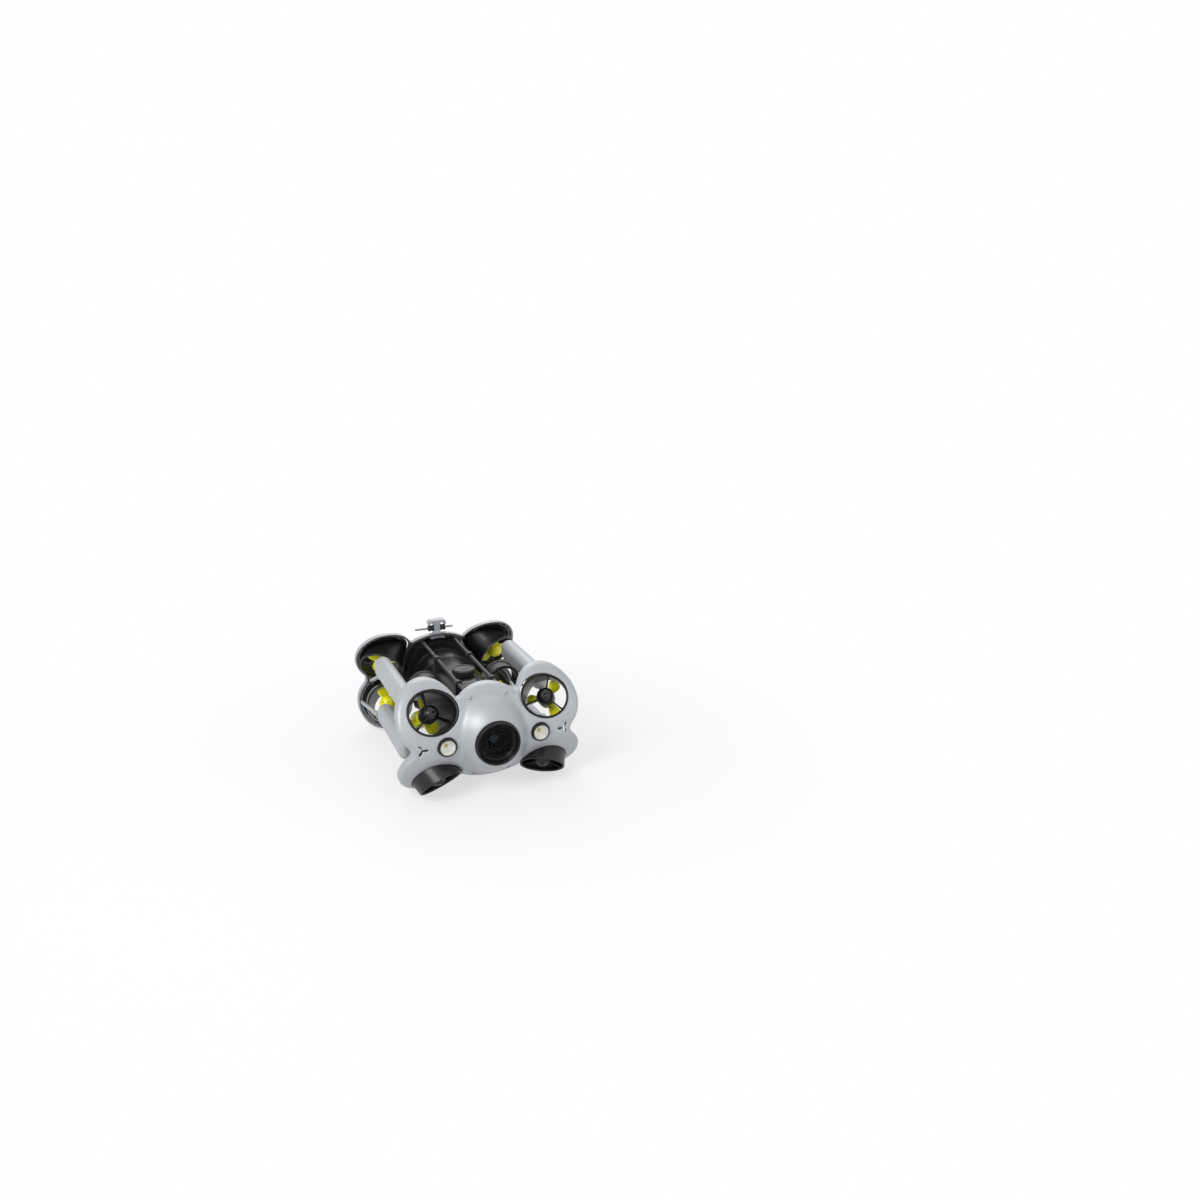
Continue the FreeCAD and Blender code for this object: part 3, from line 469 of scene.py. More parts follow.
def shell_outline(amount=0.0, step=1.5):
    """Closed outline of a shell in its end plane: hub, lobes and the arcs between them, moved inwards."""
    s = sizes("shell")
    hub, upper, lower = np.zeros(2), np.array(s.upper_lobe), np.array(s.lower_lobe)
    hub_r, upper_r, lower_r = s.hub_r - amount, s.upper_lobe_r - amount, s.lower_lobe_r - amount
    notch, waist, under = s.notch_fillet + amount, s.waist_fillet + amount, s.under_fillet + amount
    notch_c = circle_meet(hub, hub_r + notch, upper, upper_r + notch, 1)
    waist_c = circle_meet(upper, upper_r + waist, lower, lower_r + waist, 1)
    under_c = circle_meet(hub, hub_r + under, lower, lower_r + under, -1)
    p = [hub + unit(notch_c - hub) * hub_r, upper + unit(notch_c - upper) * upper_r,
         upper + unit(waist_c - upper) * upper_r, lower + unit(waist_c - lower) * lower_r,
         lower + unit(under_c - lower) * lower_r, hub + unit(under_c - hub) * hub_r]
    top, bottom = np.array([0.0, hub_r]), np.array([0.0, -hub_r])
    right = np.concatenate([
        arc(hub, top, p[0], step), arc(notch_c, p[0], p[1], step, True), arc(upper, p[1], p[2], step),
        arc(waist_c, p[2], p[3], step, True), arc(lower, p[3], p[4], step),
        arc(under_c, p[4], p[5], step, True), arc(hub, p[5], bottom, step)])
    left = right[1:][::-1] * (-1, 1)
    return np.concatenate([right, [bottom], left])


def shell_height(x, z):
    """Reach of the smooth outer surface: a web that falls with z squared, blended with the dome."""
    s = sizes("shell")
    wrap = np.maximum(0.0, np.abs(x) - s.wrap_start) / (s.upper_lobe[0] + s.upper_lobe_r - s.wrap_start)
    web = s.web_reach - s.web_curve * MM * z * z - s.wrap_depth * wrap * wrap
    radius = np.hypot(x, z)
    inner = s.dome_reach + np.sqrt(np.maximum(s.dome_r ** 2 - radius ** 2, 0.0))
    dome = np.where(radius < s.dome_r, inner, s.dome_reach - 4.0 * (radius - s.dome_r))
    blend = np.maximum(0.0, s.dome_blend - np.abs(web - dome)) / s.dome_blend
    return np.maximum(web, dome) + blend * blend * s.dome_blend * 0.25


def thruster_axes():
    """Rim centre and outward axis of each duct, from the hinge of its propeller."""
    reach = sizes("thruster").rim_from_hinge
    out = {}
    for joint in frame["joints"]:
        _, found, key = joint["name"].partition("propeller_spin_")
        if found:
            axis = unit(joint["axis"])
            out[key] = (np.array(joint["pos_m"]) / MM + axis * reach, axis)
    return out


def rim_normal(axis):
    """Normal of the plane that a lower duct's rim is cut by, tipped further up or down than its axis."""
    return unit(axis * (0.78, 0.77, 1.43))


def spokes(axis, radius, count):
    """Points of a circle of a radius about the origin, square to an axis."""
    e1, e2 = side_axes(axis)
    angle = np.linspace(0, 2 * math.pi, count, endpoint=False)[:, None]
    return radius * (np.cos(angle) * e1 + np.sin(angle) * e2)


def past_shell(points, axis, lift):
    """How far points have to go along an axis to lie on the shell surface, lifted outwards."""
    end = np.sign(axis[1])
    return (end * (shell_height(points[:, 0], points[:, 2] - AXIS_Z) + lift) - points[:, 1]) / axis[1]


def rim_places(key, radius, count, proud):
    """Place along the axis where a circle of lines round a duct meets its rim surface."""
    rim, axis = thruster_axes()[key]
    spoke = spokes(axis, radius, count)
    if "lower" in key:
        normal = rim_normal(axis)
        return -(spoke @ normal) / (axis @ normal)
    along = np.zeros(count)
    for _ in range(12):
        along += past_shell(rim + spoke + along[:, None] * axis, axis, proud)
    return along


def duct_outline(key, radius, sink=0.0, count=120):
    """Closed curve in the end plane where a duct of that radius meets the shell surface."""
    rim, axis = thruster_axes()[key]
    points = rim + spokes(axis, radius, count)
    for _ in range(14):
        points = points + np.clip(past_shell(points, axis, -sink), -30, 30)[:, None] * axis
    return np.column_stack([points[:, 0], points[:, 2] - AXIS_Z])


def round_hole(x, z, radius, step=1.4):
    count = max(24, int(2 * math.pi * radius / step))
    angle = np.linspace(0, 2 * math.pi, count, endpoint=False)
    return np.column_stack([x + radius * np.cos(angle), z + radius * np.sin(angle)])


def seat_of(node, gap=FIT_GAP):
    """Round hole in the end plane for a node that looks along the long axis."""
    r, _, middle = round_node(node)
    return round_hole(middle[0], 0, r + gap)


def three_arm_hole(x):
    """Three pointed arms, one towards the middle: the radius swells with the cube of a threefold cosine."""
    angle = np.linspace(0, 2 * math.pi, 120, endpoint=False)
    arms = ((1 + np.cos(3 * (angle - (math.pi if x > 0 else 0.0)))) / 2) ** 3
    radius = 1.7 + 7.0 * arms
    return np.column_stack([x + radius * np.cos(angle), radius * np.sin(angle)])


def end_place(end):
    """Turns plane coordinates and reach into points at one end of the vehicle."""
    return lambda x, reach, z: np.column_stack([x, end * reach, z + AXIS_Z])


def shell_skin(end_name):
    """One end shell: a height over its outline, with soft edges, a deep rim wall and a second lip inside."""
    s = sizes("shell")
    duct_r = sizes("thruster").outer_r + FIT_GAP
    outline = shell_outline()
    upper = [duct_outline(f"{end_name}_upper_{side}", duct_r) for side in SIDES]
    lower = [duct_outline(f"{end_name}_lower_{side}", duct_r) for side in SIDES]
    if end_name == "front":
        seats = [seat_of(node) for node in ("camera_bezel", "lamp_housing_left", "lamp_housing_right")]
        marks = [three_arm_hole(s.mark_x * side) for side in SIDES.values()]
    else:
        seats, marks = [seat_of("tether_socket")], []
    band = s.dome_r + 0.6
    guides = [inset(outline, o) for o in (0.35, 0.8, 1.4, 2.1, 2.6, 3.0, 3.9, 5.0, 5.4, 6.6, 7.0, 9.0)]
    guides += [inset(loop, -o) for loop in upper + lower + seats for o in (0.3, 0.8, 1.5, 2.4, 3.6)]
    guides += [inset(loop, -0.7) for loop in marks]
    for offset in (-1.0, -0.5, -0.25, 0, 0.25, 0.5, 1.0):
        guides.append(round_hole(0, 0, band + offset, 1.2 * (1 + offset / band)))
    flat, cells = plane_cells([outline, *upper, *seats, *marks, *lower], guides, 3.2)
    x, z = flat.T
    edge = distance(flat, outline)
    surface = shell_height(x, z)
    ring = np.hypot(x, z)
    step_share = smooth((np.abs(z) / np.maximum(ring, 1e-6) - 0.60) / 0.12)
    front = surface - s.band_step * smooth(ring - band + 0.5) * step_share - fall(edge, s.edge_round)
    for loop in upper + lower:
        near = distance(flat, loop)
        front = front - fall(near, np.minimum(1.8, 0.5 * (near + edge) + 0.2))
    for loop in seats:
        front = front - fall(distance(flat, loop), 2.2)
    for loop in marks:
        front = front - fall(distance(flat, loop), 0.9)
    under_bracket = smooth((z - 44) / 6) * (np.abs(x) < s.notch_x)
    rim_wall = s.skirt_wall + 2.4 * under_bracket
    wall = s.wall + (s.skirt_depth - s.wall) * (1 - smooth((edge - rim_wall) / 0.4))
    lip = smooth((edge - 5.0) / 0.4) * (1 - smooth((edge - 6.6) / 0.4))
    back = np.minimum(surface - wall - 9.5 * lip, front - 1.2)
    return thick_sheet(flat, cells, front, back, end_place(ENDS[end_name]))


def fall(near, radius):
    """Drop of a quarter round of a radius, as a function of the distance from the edge."""
    inner = np.clip(radius - near, 0.0, None)
    return radius - np.sqrt(np.maximum(radius ** 2 - inner ** 2, 0.0))


def inner_plate(end_name, side_name):
    """Black plate behind a shell, with raised lips round its ducts and along its edge."""
    s = sizes("shell")
    side = SIDES[side_name]
    outline = shell_outline(s.plate_edge)
    clear = sizes("thruster").outer_r + 1.7
    ducts = [duct_outline(f"{end_name}_{level}_{side_name}", clear, s.plate_back) for level in LEVELS]
    holes = [*ducts, round_hole(0, 0, s.hub_r - s.skirt_wall), waist_hole(side)]
    if end_name == "front":
        lamp_x, lamp_hole = node_middle(f"lamp_housing_{side_name}")[0], 13.6
        holes.append(round_hole(lamp_x, 0, lamp_hole))
    guides = [inset(outline, o)[outline[:, 0] * side > 0] for o in (0.5, 1.6, 2.1, 3.4)]
    guides += [inset(loop, -o) for loop in ducts for o in (0.6, 1.8, 2.3, 4.0)]
    flat, cells = plane_cells([outline[outline[:, 0] * side > 0], *holes], guides, 4.0)
    lip = 1 - smooth((distance(flat, outline) - 1.6) / 0.5)
    for loop in ducts:
        lip = np.maximum(lip, 1 - smooth((distance(flat, loop) - 1.8) / 0.5))
    front = shell_height(*flat.T) - s.plate_back
    rear = front - s.plate_wall - s.plate_lip * lip
    return thick_sheet(flat, cells, front, rear, end_place(ENDS[end_name]))


def waist_hole(side):
    """Long hole round the two bosses in the waist: a circle whose halves are moved up and down."""
    s = sizes("shell")
    angle = np.linspace(0, 2 * math.pi, 48, endpoint=False)
    x, z = 6.5 * np.cos(angle), 6.5 * np.sin(angle) + s.waist_spread * np.sign(np.sin(angle))
    return np.column_stack([x, z]) + s.waist_boss * (side, 1)


def inner_trim(end_name):
    """Row of short studs between the rim wall and the black plates."""
    end = ENDS[end_name]
    path = shell_outline(4.2)
    on_lobes = (path[:, 1] > -20) & (np.abs(path[:, 0]) > 55)
    patches = []
    for x, z in path[on_lobes][::9]:
        reach = float(shell_height(x, z))
        ends = [(x, end * (reach - depth), z + AXIS_Z) for depth in (2.5, 11.0)]
        patches.append(bar(*ends, np.full(3, 1.1), 8))
    return patches


# ---- thrusters -----------------------------------------------------------------------------

def duct_wall(key):
    """Duct as a closed profile round its axis; its rim end follows the shell surface or the rim plane."""
    t = sizes("thruster")
    rim, axis = thruster_axes()[key]
    inner, outer = t.bore, t.outer_r
    wall = outer - inner
    proud = rim_places(key, outer - 1.5, 144, 0.5)
    # pairs of (radius, place from the end): the mouth with its outer lip, then the rim with its two lips
    mouth = [(inner, 2.0), (inner + 0.1 * wall, 0.7), (inner + 0.4 * wall, 0.0), (outer + 0.6, 0.0),
             (outer + 1.2, 0.4), (outer + 1.4, 1.2), (outer + 1.2, 2.6), (outer + 0.3, 3.2), (outer, 3.8)]
    lips = [(outer, -3.0), (outer, -0.9), (outer - 0.15, -0.3), (outer - 0.5, 0.0), (outer - 0.9, -0.05),
            (outer - 1.15, -0.4), (outer - 1.25, -1.0), (outer - 1.5, -1.25), (outer - 1.75, -1.0),
            (outer - 1.9, -0.6), (outer - 2.3, -0.5), (outer - 2.7, -0.9), (inner, -1.8)]
    rows = [(r, a - t.depth + 0 * proud) for r, a in mouth]
    rim_rows = [(r, a + proud) for r, a in lips]

    def between(radius, start, stop, shares):
        return [(radius, start + (stop - start) * k) for k in shares]

    rows += between(outer, rows[-1][1], rim_rows[0][1], (0.33, 0.66)) + rim_rows
    rows += between(inner, rows[-1][1], rows[0][1], (0.2, 0.4, 0.6, 0.8))
    ring = spokes(axis, 1.0, len(proud))
    points = np.stack([rim + r * ring + a[:, None] * axis for r, a in rows])
    return grid(points, close_u=True, close_v=True)


def duct_struts(key):
    """Sleeve round the motor and struts whose oval section swells where they meet the walls."""
    t = sizes("thruster")
    rim, axis = thruster_axes()[key]
    e1, e2 = side_axes(axis)
    inner, front, back = t.pod_r + 0.05, -t.sleeve_start, -t.sleeve_end
    sleeve = [(back, inner), (back, inner + 1.6), (back + 2.0, inner + 2.0), (front - 7.0, inner + 2.0),
              (front - 6.2, inner + 1.5), (front - 1.0, inner + 1.1), (front, inner + 0.5), (front, inner)]
    patches = [turned(rounded_loop(sleeve, 0.5), rim, axis, closed=True)]
    angle = np.linspace(0, 2 * math.pi, 28, endpoint=False)
    reach = np.linspace(inner + 0.6, t.bore + 0.9, 15)
    near = np.exp(-(reach - reach[0]) / 2.0) + np.exp(-(reach[-1] - reach) / 1.6)
    chord = (front - back - 3) / 2 * (0.72 + 0.25 * near)
    thick = 1.15 * (1.0 + 0.75 * near)
    for k in range(t.struts):
        turn = t.strut_turn + 2 * math.pi * k / t.struts
        spoke = math.cos(turn) * e1 + math.sin(turn) * e2
        across = -math.sin(turn) * e1 + math.cos(turn) * e2
        points = (rim + spoke * reach[:, None, None]
                  + axis * ((front + back) / 2 + chord[:, None] * np.cos(angle))[..., None]
                  + across * (thick[:, None] * np.sin(angle))[..., None])
        patches.append(capped(points))
    return patches


def motor_pod(key):
    """Pod turned round the duct axis: a nose with a hole, a cone, a barrel and the shaft."""
    t = sizes("thruster")
    rim, axis = thruster_axes()[key]
    r, shaft, back = t.pod_r, t.shaft_r, -t.pod_length
    nose = [(-4.6, 0.0), (-4.6, 1.7), (-0.5, 1.8), (0.0, 2.5), (-0.5, 4.4), (-2.2, 6.6), (-3.9, 8.5), (-5.0, 9.6)]
    profile = [*nose, (-8.5, r - 0.25), (-10.0, r), (back, r), (back, shaft + 1.1), (back - 1.0, shaft),
               (back - 13.0, shaft), (back - 14.0, shaft - 0.5), (back - 14.0, 0.0)]
    return [turned(rounded(profile, 0.8, 5), rim, axis, 64)]


def propeller(key):
    """Hub with a domed spinner that has two dimples, and twisted blades."""
    t = sizes("thruster")
    rim, axis = thruster_axes()[key]
    start = -t.pod_length - 1.0
    end = start - t.hub_length
    patches = [propeller_hub(t, rim, axis, start, end)]
    patches += [blade(t, rim, axis, (start + end) / 2, 2 * math.pi * k / t.blades) for k in range(t.blades)]
    return patches


def propeller_hub(t, rim, axis, start, end):
    """Profile turned round the axis, its quarter ellipse of a spinner pushed in at two round places."""
    turn = np.linspace(0.04, math.pi / 2, 60)
    dome = np.column_stack([end - t.spinner * np.sin(turn), t.hub_r * np.cos(turn)])
    hub = [(start - 10, 0.0), (start - 10, 2.6), (start, 2.6), (start, t.hub_r - 0.9), (start - 0.9, t.hub_r),
           (end, t.hub_r)]
    points, faces = turned(np.concatenate([rounded(hub, 0.4), dome]), rim, axis, 96)
    u, v, w = ((points - rim) @ direction for direction in (*side_axes(axis), axis))
    for side in (-1, 1):
        near = np.hypot(u - side * 5.0, v)
        dimple = (1 - smooth((near - 1.2) / 0.4)) * (w < end - 0.5 * t.spinner)
        points = points + (5.0 * dimple)[:, None] * axis
    return points, faces


def blade(t, rim, axis, middle, turn):
    """Lens-shaped section on arcs round the axis, whose pitch falls and chord swells from hub to tip."""
    e1, e2 = side_axes(axis)
    share = np.linspace(0.0, 1.0, 26)
    root = t.hub_r - 1.2
    reach = root + (t.tip_r - root) * share
    pitch = np.radians(50.0 - 26.0 * share)[:, None]
    tip = np.sqrt(np.clip(1 - ((share - 0.72) / 0.285).clip(0, None) ** 2, 0.02, 1.0))
    chord = (12.0 + 7.5 * np.sin(math.pi * 0.62 * share)) * (0.35 + 0.65 * tip)
    thick = (1.15 - 0.65 * share) * (0.4 + 0.6 * tip) + 1.3 * np.exp(-share / 0.06)
    angle = np.linspace(0, 2 * math.pi, 36, endpoint=False)
    along = np.cos(angle) * chord[:, None] / 2
    normal = np.sin(angle) * (1 - 0.25 * np.cos(angle)) * thick[:, None] - 1.2 * np.cos(angle) ** 2
    swept = along * np.cos(pitch) - normal * np.sin(pitch) + (1.5 * share ** 2)[:, None]
    axial = middle + along * np.sin(pitch) + normal * np.cos(pitch)
    turn = (turn + swept / reach[:, None])[..., None]
    ring = np.cos(turn) * e1 + np.sin(turn) * e2
    return capped(rim + reach[:, None, None] * ring + axial[..., None] * axis)


# ---- beams ---------------------------------------------------------------------------------

def side_beam(level_name, side_name):
    """Beam of an oval section along Y with soft ends and a long groove, and its arms to the shells."""
    b, s = sizes("beam"), sizes("shell")
    side, level = SIDES[side_name], LEVELS[level_name]
    x = side * b.across
    z = AXIS_Z + (b.upper_z if level > 0 else b.lower_z)
    radius, rise = b.width / 2, b.height - b.width
    angle = np.linspace(-math.pi, math.pi, 120, endpoint=False)
    turn = np.linspace(0, math.pi / 2, 9)
    ends = b.half - b.end_round * (1 - np.sin(turn))
    sink = b.end_round * (1 - np.cos(turn))
    flat = np.linspace(-b.half + b.end_round, b.half - b.end_round, 41)[1:-1]
    stations = np.concatenate([-ends[::-1], flat, ends])
    inward = np.concatenate([sink[::-1], 0 * flat, sink])
    groove_round = 1 - smooth((np.abs(angle + math.pi / 6) * radius - 0.9) / 0.8)
    groove_along = 1 - smooth((np.abs(stations) - 34) / 6)
    section_r = radius - inward[:, None] - 2.2 * groove_round * groove_along[:, None]
    up = np.sin(angle)
    points = np.stack([x + section_r * side * np.cos(angle), np.repeat(stations[:, None], len(angle), 1),
                       z + section_r * up + np.sign(up) * rise / 2 * (np.abs(up) > 1e-9)], -1)
    fore = np.array([1, -1, 1])
    flare = np.exp(-7.0 * np.linspace(0, 1, 24))
    boss = s.waist_boss * (side, 1)
    root = np.array([x + side * 4, b.half - 11, z - level * radius])
    foot = np.array([boss[0], b.arm_end, AXIS_Z + boss[1] + level * s.waist_spread])
    waist_arm = b.arm_r + 4.2 * flare
    patches = [capped(points), bar(root * fore, foot * fore, waist_arm)]
    if level > 0:
        return [*patches, bar(root, foot, waist_arm)]
    boss = s.lobe_boss * (side, 1) + (0, AXIS_Z)
    root = np.array([x + side * 10.6, b.half - 5, boss[1]])
    foot = np.array([boss[0], b.arm_end - 3, boss[1]])
    return [*patches, bar(root, foot, b.arm_r + 1.2 * flare)]


# ---- hull and what sits on it --------------------------------------------------------------

def hull_tube():
    """Tube turned round the long axis with shallow bands, and the neck of the service port."""
    f = sizes("fitting")
    low, high = box("pressure_hull")
    half, r = high[1], (high[0] - low[0]) / 2
    bands = []
    for y in (-104, -66, 66, 104):
        bands += [(y - 4.4, r), (y - 4.0, r - 0.5), (y + 4.0, r - 0.5), (y + 4.4, r)]
    outer = [(-half, r - 0.8), (-half + 0.8, r), *bands, (half - 0.8, r), (half, r - 0.8)]
    inner = [(half, r - f.hull_wall), (-half, r - f.hull_wall)]
    tube = turned(rounded_loop(outer + inner, 0.3, 2), (0, 0, AXIS_Z), (0, 1, 0), 160, closed=True)
    neck = [(r - 2.5, 0.0), (r - 2.5, 16.5), (r + 0.6, 15.2), (r + 7.4, 15.0), (r + 7.4, 0.0)]
    return [tube, turned(neck, (0, f.port_y, AXIS_Z), (0, 0, 1), 96)]


def saddle(side_name):
    """Channel section with raised lips carried along an arc from the hull to a beam, and its flat foot."""
    f = sizes("fitting")
    side = SIDES[side_name]
    (_, y0, _), (_, y1, _) = box(f"hull_saddle_{side_name}")
    outer, inner, lip = f.saddle_r, f.saddle_r - 2.6, f.saddle_r + 2.0
    section = rounded_loop([(y0, inner), (y1, inner), (y1, lip), (y1 - 2.6, lip), (y1 - 3.4, outer),
                            (y0 + 3.4, outer), (y0 + 2.6, lip), (y0, lip)], 0.5, 3)
    angle = np.radians(np.linspace(-28.0, 158.0, 60))[:, None]
    x = f.saddle[0] * side + side * np.cos(angle) * section[:, 1]
    z = f.saddle[1] + np.sin(angle) * section[:, 1]
    # where the arc would pass through the hull it is held inside the hull's wall
    from_axis = np.maximum(np.hypot(x, z), 1e-9)
    held = np.where(from_axis < 46.5, 46.5 / from_axis, 1.0)
    arch = np.stack([x * held, np.repeat(section[None, :, 0], len(angle), 0), z * held + AXIS_Z], -1)
    foot = [(80.2 * side, 19.6), (90.5 * side, 19.6), (90.5 * side, 24.4), (80.2 * side, 24.4)]
    return [capped(arch), *slab(rounded_loop(foot, 0.8) + (0, AXIS_Z), y0 + 0.4, y1 - 0.4)]


def port_cap():
    """Ribbed cap: a profile turned round Z whose radius waves with the ribs on its side only."""
    low, high = box("port_cap")
    middle = (low + high) / 2
    r, height = (high[0] - low[0]) / 2, high[2] - low[2]
    profile = [(height - 2.4, 0.0), (height - 2.4, 15.1), (0.0, 15.1), (0.0, r - 0.8), (0.8, r - 0.2),
               (height - 2.2, r - 0.2), (height - 1.0, r - 1.0), (height, r - 2.4), (height, r - 4.0),
               (height - 1.0, r - 4.4), (height - 1.0, 6.0), (height - 0.2, 5.6), (height - 0.2, 0.0)]

    def ribs(along, angle, radius):
        on_side = smooth((radius - r + 3.0) / 2.0) * (along < height - 1.6)
        return on_side * 0.55 * (np.cos(24 * angle) - 1)

    return [turned(rounded(profile, 0.5), (middle[0], middle[1], low[2]), (0, 0, 1), 288, waves=ribs)]


def tow_bracket():
    """T-shaped plate with two rounded hooks and a flared foot."""
    low, high = box("tow_bracket")
    top, half = high[2], high[0]
    ring = sizes("fitting").bracket_foot
    foot = AXIS_Z + ring
    hook = [(0, top), (half - 3.4, top), (half, top - 3.4), (half, top - 8.9), (half - 3.6, top - 8.9)]
    stem = [(half - 3.8, top - 5.4), (5.4, top - 5.2), (4.6, foot + 13), (6.5, foot + 7), (12.0, foot + 2.2),
            (12.0, foot - 0.9)]
    right = np.array(hook + stem)
    x = np.linspace(9, -9, 7)
    bed = np.column_stack([x, AXIS_Z + np.sqrt(ring ** 2 - x * x)])
    left = right[:0:-1] * (-1, 1)
    return slab(rounded_loop(np.concatenate([right, bed, left]), 2.2, 5), low[1], high[1], 0.9)


# ---- camera and lamps ----------------------------------------------------------------------

def camera_ring():
    """Bezel turned round the nose axis, its cone dented by two small notches."""
    r, depth, origin = round_node("camera_bezel")
    outside = [(depth, 22.4), (depth, r - 0.6), (depth - 0.6, r), (0.9, r), (0.2, r - 0.5), (0.0, r - 1.2)]
    cone = [(0.5, r - 2.0), (0.9, r - 2.2), (1.2, r - 2.6), (8.0, 26.2), (8.6, 25.1), (12.1, 25.05), (12.1, 22.4)]
    points, faces = turned(rounded_loop(outside + cone, 0.35, 3), origin, (0, 1, 0), 180, closed=True)
    for turn in (-150.0, -30.0):
        at = 28.3 * np.array([math.cos(math.radians(turn)), 0.0, math.sin(math.radians(turn))])
        near = np.linalg.norm((points - origin - at) * (1, 0.4, 1), axis=1)
        points = points + (1 - smooth((near - 0.8) / 0.9))[:, None] * (0, 1.6, 0)
    return [(points, faces)]


def window_disc(node, crown):
    """Disc that fills a node's box, its front a flat paraboloid of the given crown."""
    r, thick, origin = round_node(node)
    share = np.linspace(0.0, 1.0, 14)
    front = np.column_stack([crown * share ** 2, r * share])
    return [turned(np.concatenate([front, [(thick, r), (thick, 0.0)]]), origin, (0, 1, 0))]


def camera_barrel():
    """Barrel with a stepped front and a cone behind the window."""
    r, depth, origin = round_node("camera_module")
    profile = [(10.0, 0.0), (10.0, 9.8), (6.0, 10.6), (6.0, 12.2), (4.4, 12.8), (4.4, 15.0), (3.2, 16.0),
               (3.2, r - 3.6), (0.0, r - 2.8), (0.0, r), (depth, r), (depth, 0.0)]
    return [turned(rounded(profile, 0.4, 3), origin, (0, 1, 0), 128)]


def inner_lens():
    """Front lens of the camera in the mouth of its barrel, a paraboloid 4.6 mm high."""
    share = np.linspace(0.0, 1.0, 24)
    front = np.column_stack([4.6 + 4.6 * share ** 2, 9.7 * share])
    profile = np.concatenate([front, [(10.2, 9.7), (10.2, 0.0)]])
    return [turned(profile, round_node("camera_module")[2], (0, 1, 0))]


def lamp_body(side_name):
    """Cup with a thick rounded lip."""
    r, depth, origin = round_node(f"lamp_housing_{side_name}")
    profile = [(depth, 0.0), (depth, r), (0.8, r), (0.0, r - 0.8), (0.0, r - 1.7), (0.6, r - 2.1),
               (depth - 2.2, r - 2.2), (depth - 2.2, 0.0)]
    return [turned(rounded(profile, 0.5), origin, (0, 1, 0))]


def lamp_bowl(side_name):
    """Bowl round a flat floor, whose depth falls with a power of the distance from the floor's edge."""
    r, depth, origin = round_node(f"lamp_reflector_{side_name}")
    bowl_depth, floor_share, rim_share = depth - 1.6, 0.32, 0.96
    share = np.linspace(0.0, 1.0, 14)
    radius = r * (floor_share + (rim_share - floor_share) * share)
    bowl = np.column_stack([bowl_depth * (1 - share ** 2.4), radius])
    profile = np.concatenate([[(bowl_depth, 0.0)], bowl, [(0.0, r), (depth, r), (depth, 0.0)]])
    return [turned(profile, origin, (0, 1, 0))]


def lamp_chip(side_name):
    """Square light chip with rounded corners, in the middle of its lamp."""
    low, high = box("lamp_chips")
    x = node_middle(f"lamp_reflector_{side_name}")[0]
    half = (high[2] - low[2]) / 2
    square = [(-half, -half), (half, -half), (half, half), (-half, half)]
    return slab(rounded_loop(square, 1.0) + (x, AXIS_Z), low[1], high[1], 0.25)


# ---- rods, pins and screws -----------------------------------------------------------------

def conduit(side):
    """Thin rod along the hull with a ring near each end."""
    f = sizes("fitting")
    x, z = f.rod * (side, 1) + (0, AXIS_Z)
    half, r = box("conduit_rods")[1][1], f.rod_r
    rod = [(-half, 0.0), (-half, r - 0.4), (-half + 0.4, r), (half - 0.4, r), (half, r - 0.4), (half, 0.0)]
    ring = rounded_loop([(-1.4, r - 0.2), (1.4, r - 0.2), (1.4, r + 1.0), (-1.4, r + 1.0)], 0.4)
    rings = [turned(ring, (x, y, z), (0, 1, 0), 40, closed=True) for y in (-f.rod_ring, f.rod_ring)]
    return [turned(rod, (x, 0, z), (0, 1, 0), 40), *rings]


def cross_pin():
    """Pin across the bracket, turned round X with its ends broken."""
    low, high = box("bracket_pin")
    r, span = (high[2] - low[2]) / 2, high[0] - low[0]
    profile = [(0, 0), (0, r - 0.3), (0.4, r), (span - 0.4, r), (span, r - 0.3), (span, 0)]
    return [turned(profile, (low[0], *node_middle("bracket_pin")[1:]), (1, 0, 0), 32)]


def rollers():
    """Two sleeves on the pin, each with a groove round its middle."""
    low, high = box("bracket_rollers")
    middle = (0, *node_middle("bracket_rollers")[1:])
    start, stop, r, bore = 4.8, high[0], (high[2] - low[2]) / 2, 1.8
    profile = rounded_loop([(start, bore), (start, r), (start + 3.4, r), (start + 4.0, r - 0.7),
                            (start + 5.2, r - 0.7), (start + 5.8, r), (stop, r), (stop, bore)], 0.35)
    return [turned(profile, middle, (side, 0, 0), 48, closed=True) for side in SIDES.values()]


def screws():
    """Round heads with a six-sided recess, on short shanks."""
    s = sizes("shell")
    x, z = sizes("fitting").screw
    seat = s.web_reach - s.web_curve * MM * z * z
    head = [(0.9, 0.0), (0.9, 1.3), (0.0, 1.4), (0.0, 2.1), (0.5, 2.6), (1.6, 2.6)]
    shank = [(1.6, 1.5), (4.6, 1.5), (4.6, 0.0)]

    def hexagon(along, angle, radius):
        side_of = (angle + math.pi / 6) % (math.pi / 3) - math.pi / 6
        in_recess = (radius > 1.2) & (radius < 1.45) & (along < 1.0)
        return np.where(in_recess, radius * (0.866 / np.cos(side_of) - 0.94), 0.0)

    return [turned(head + shank, (x * side, end * seat, AXIS_Z + z * level), (0, -end, 0), 36, waves=hexagon)
            for end in ENDS.values() for side in SIDES.values() for level in (-1, 1)]


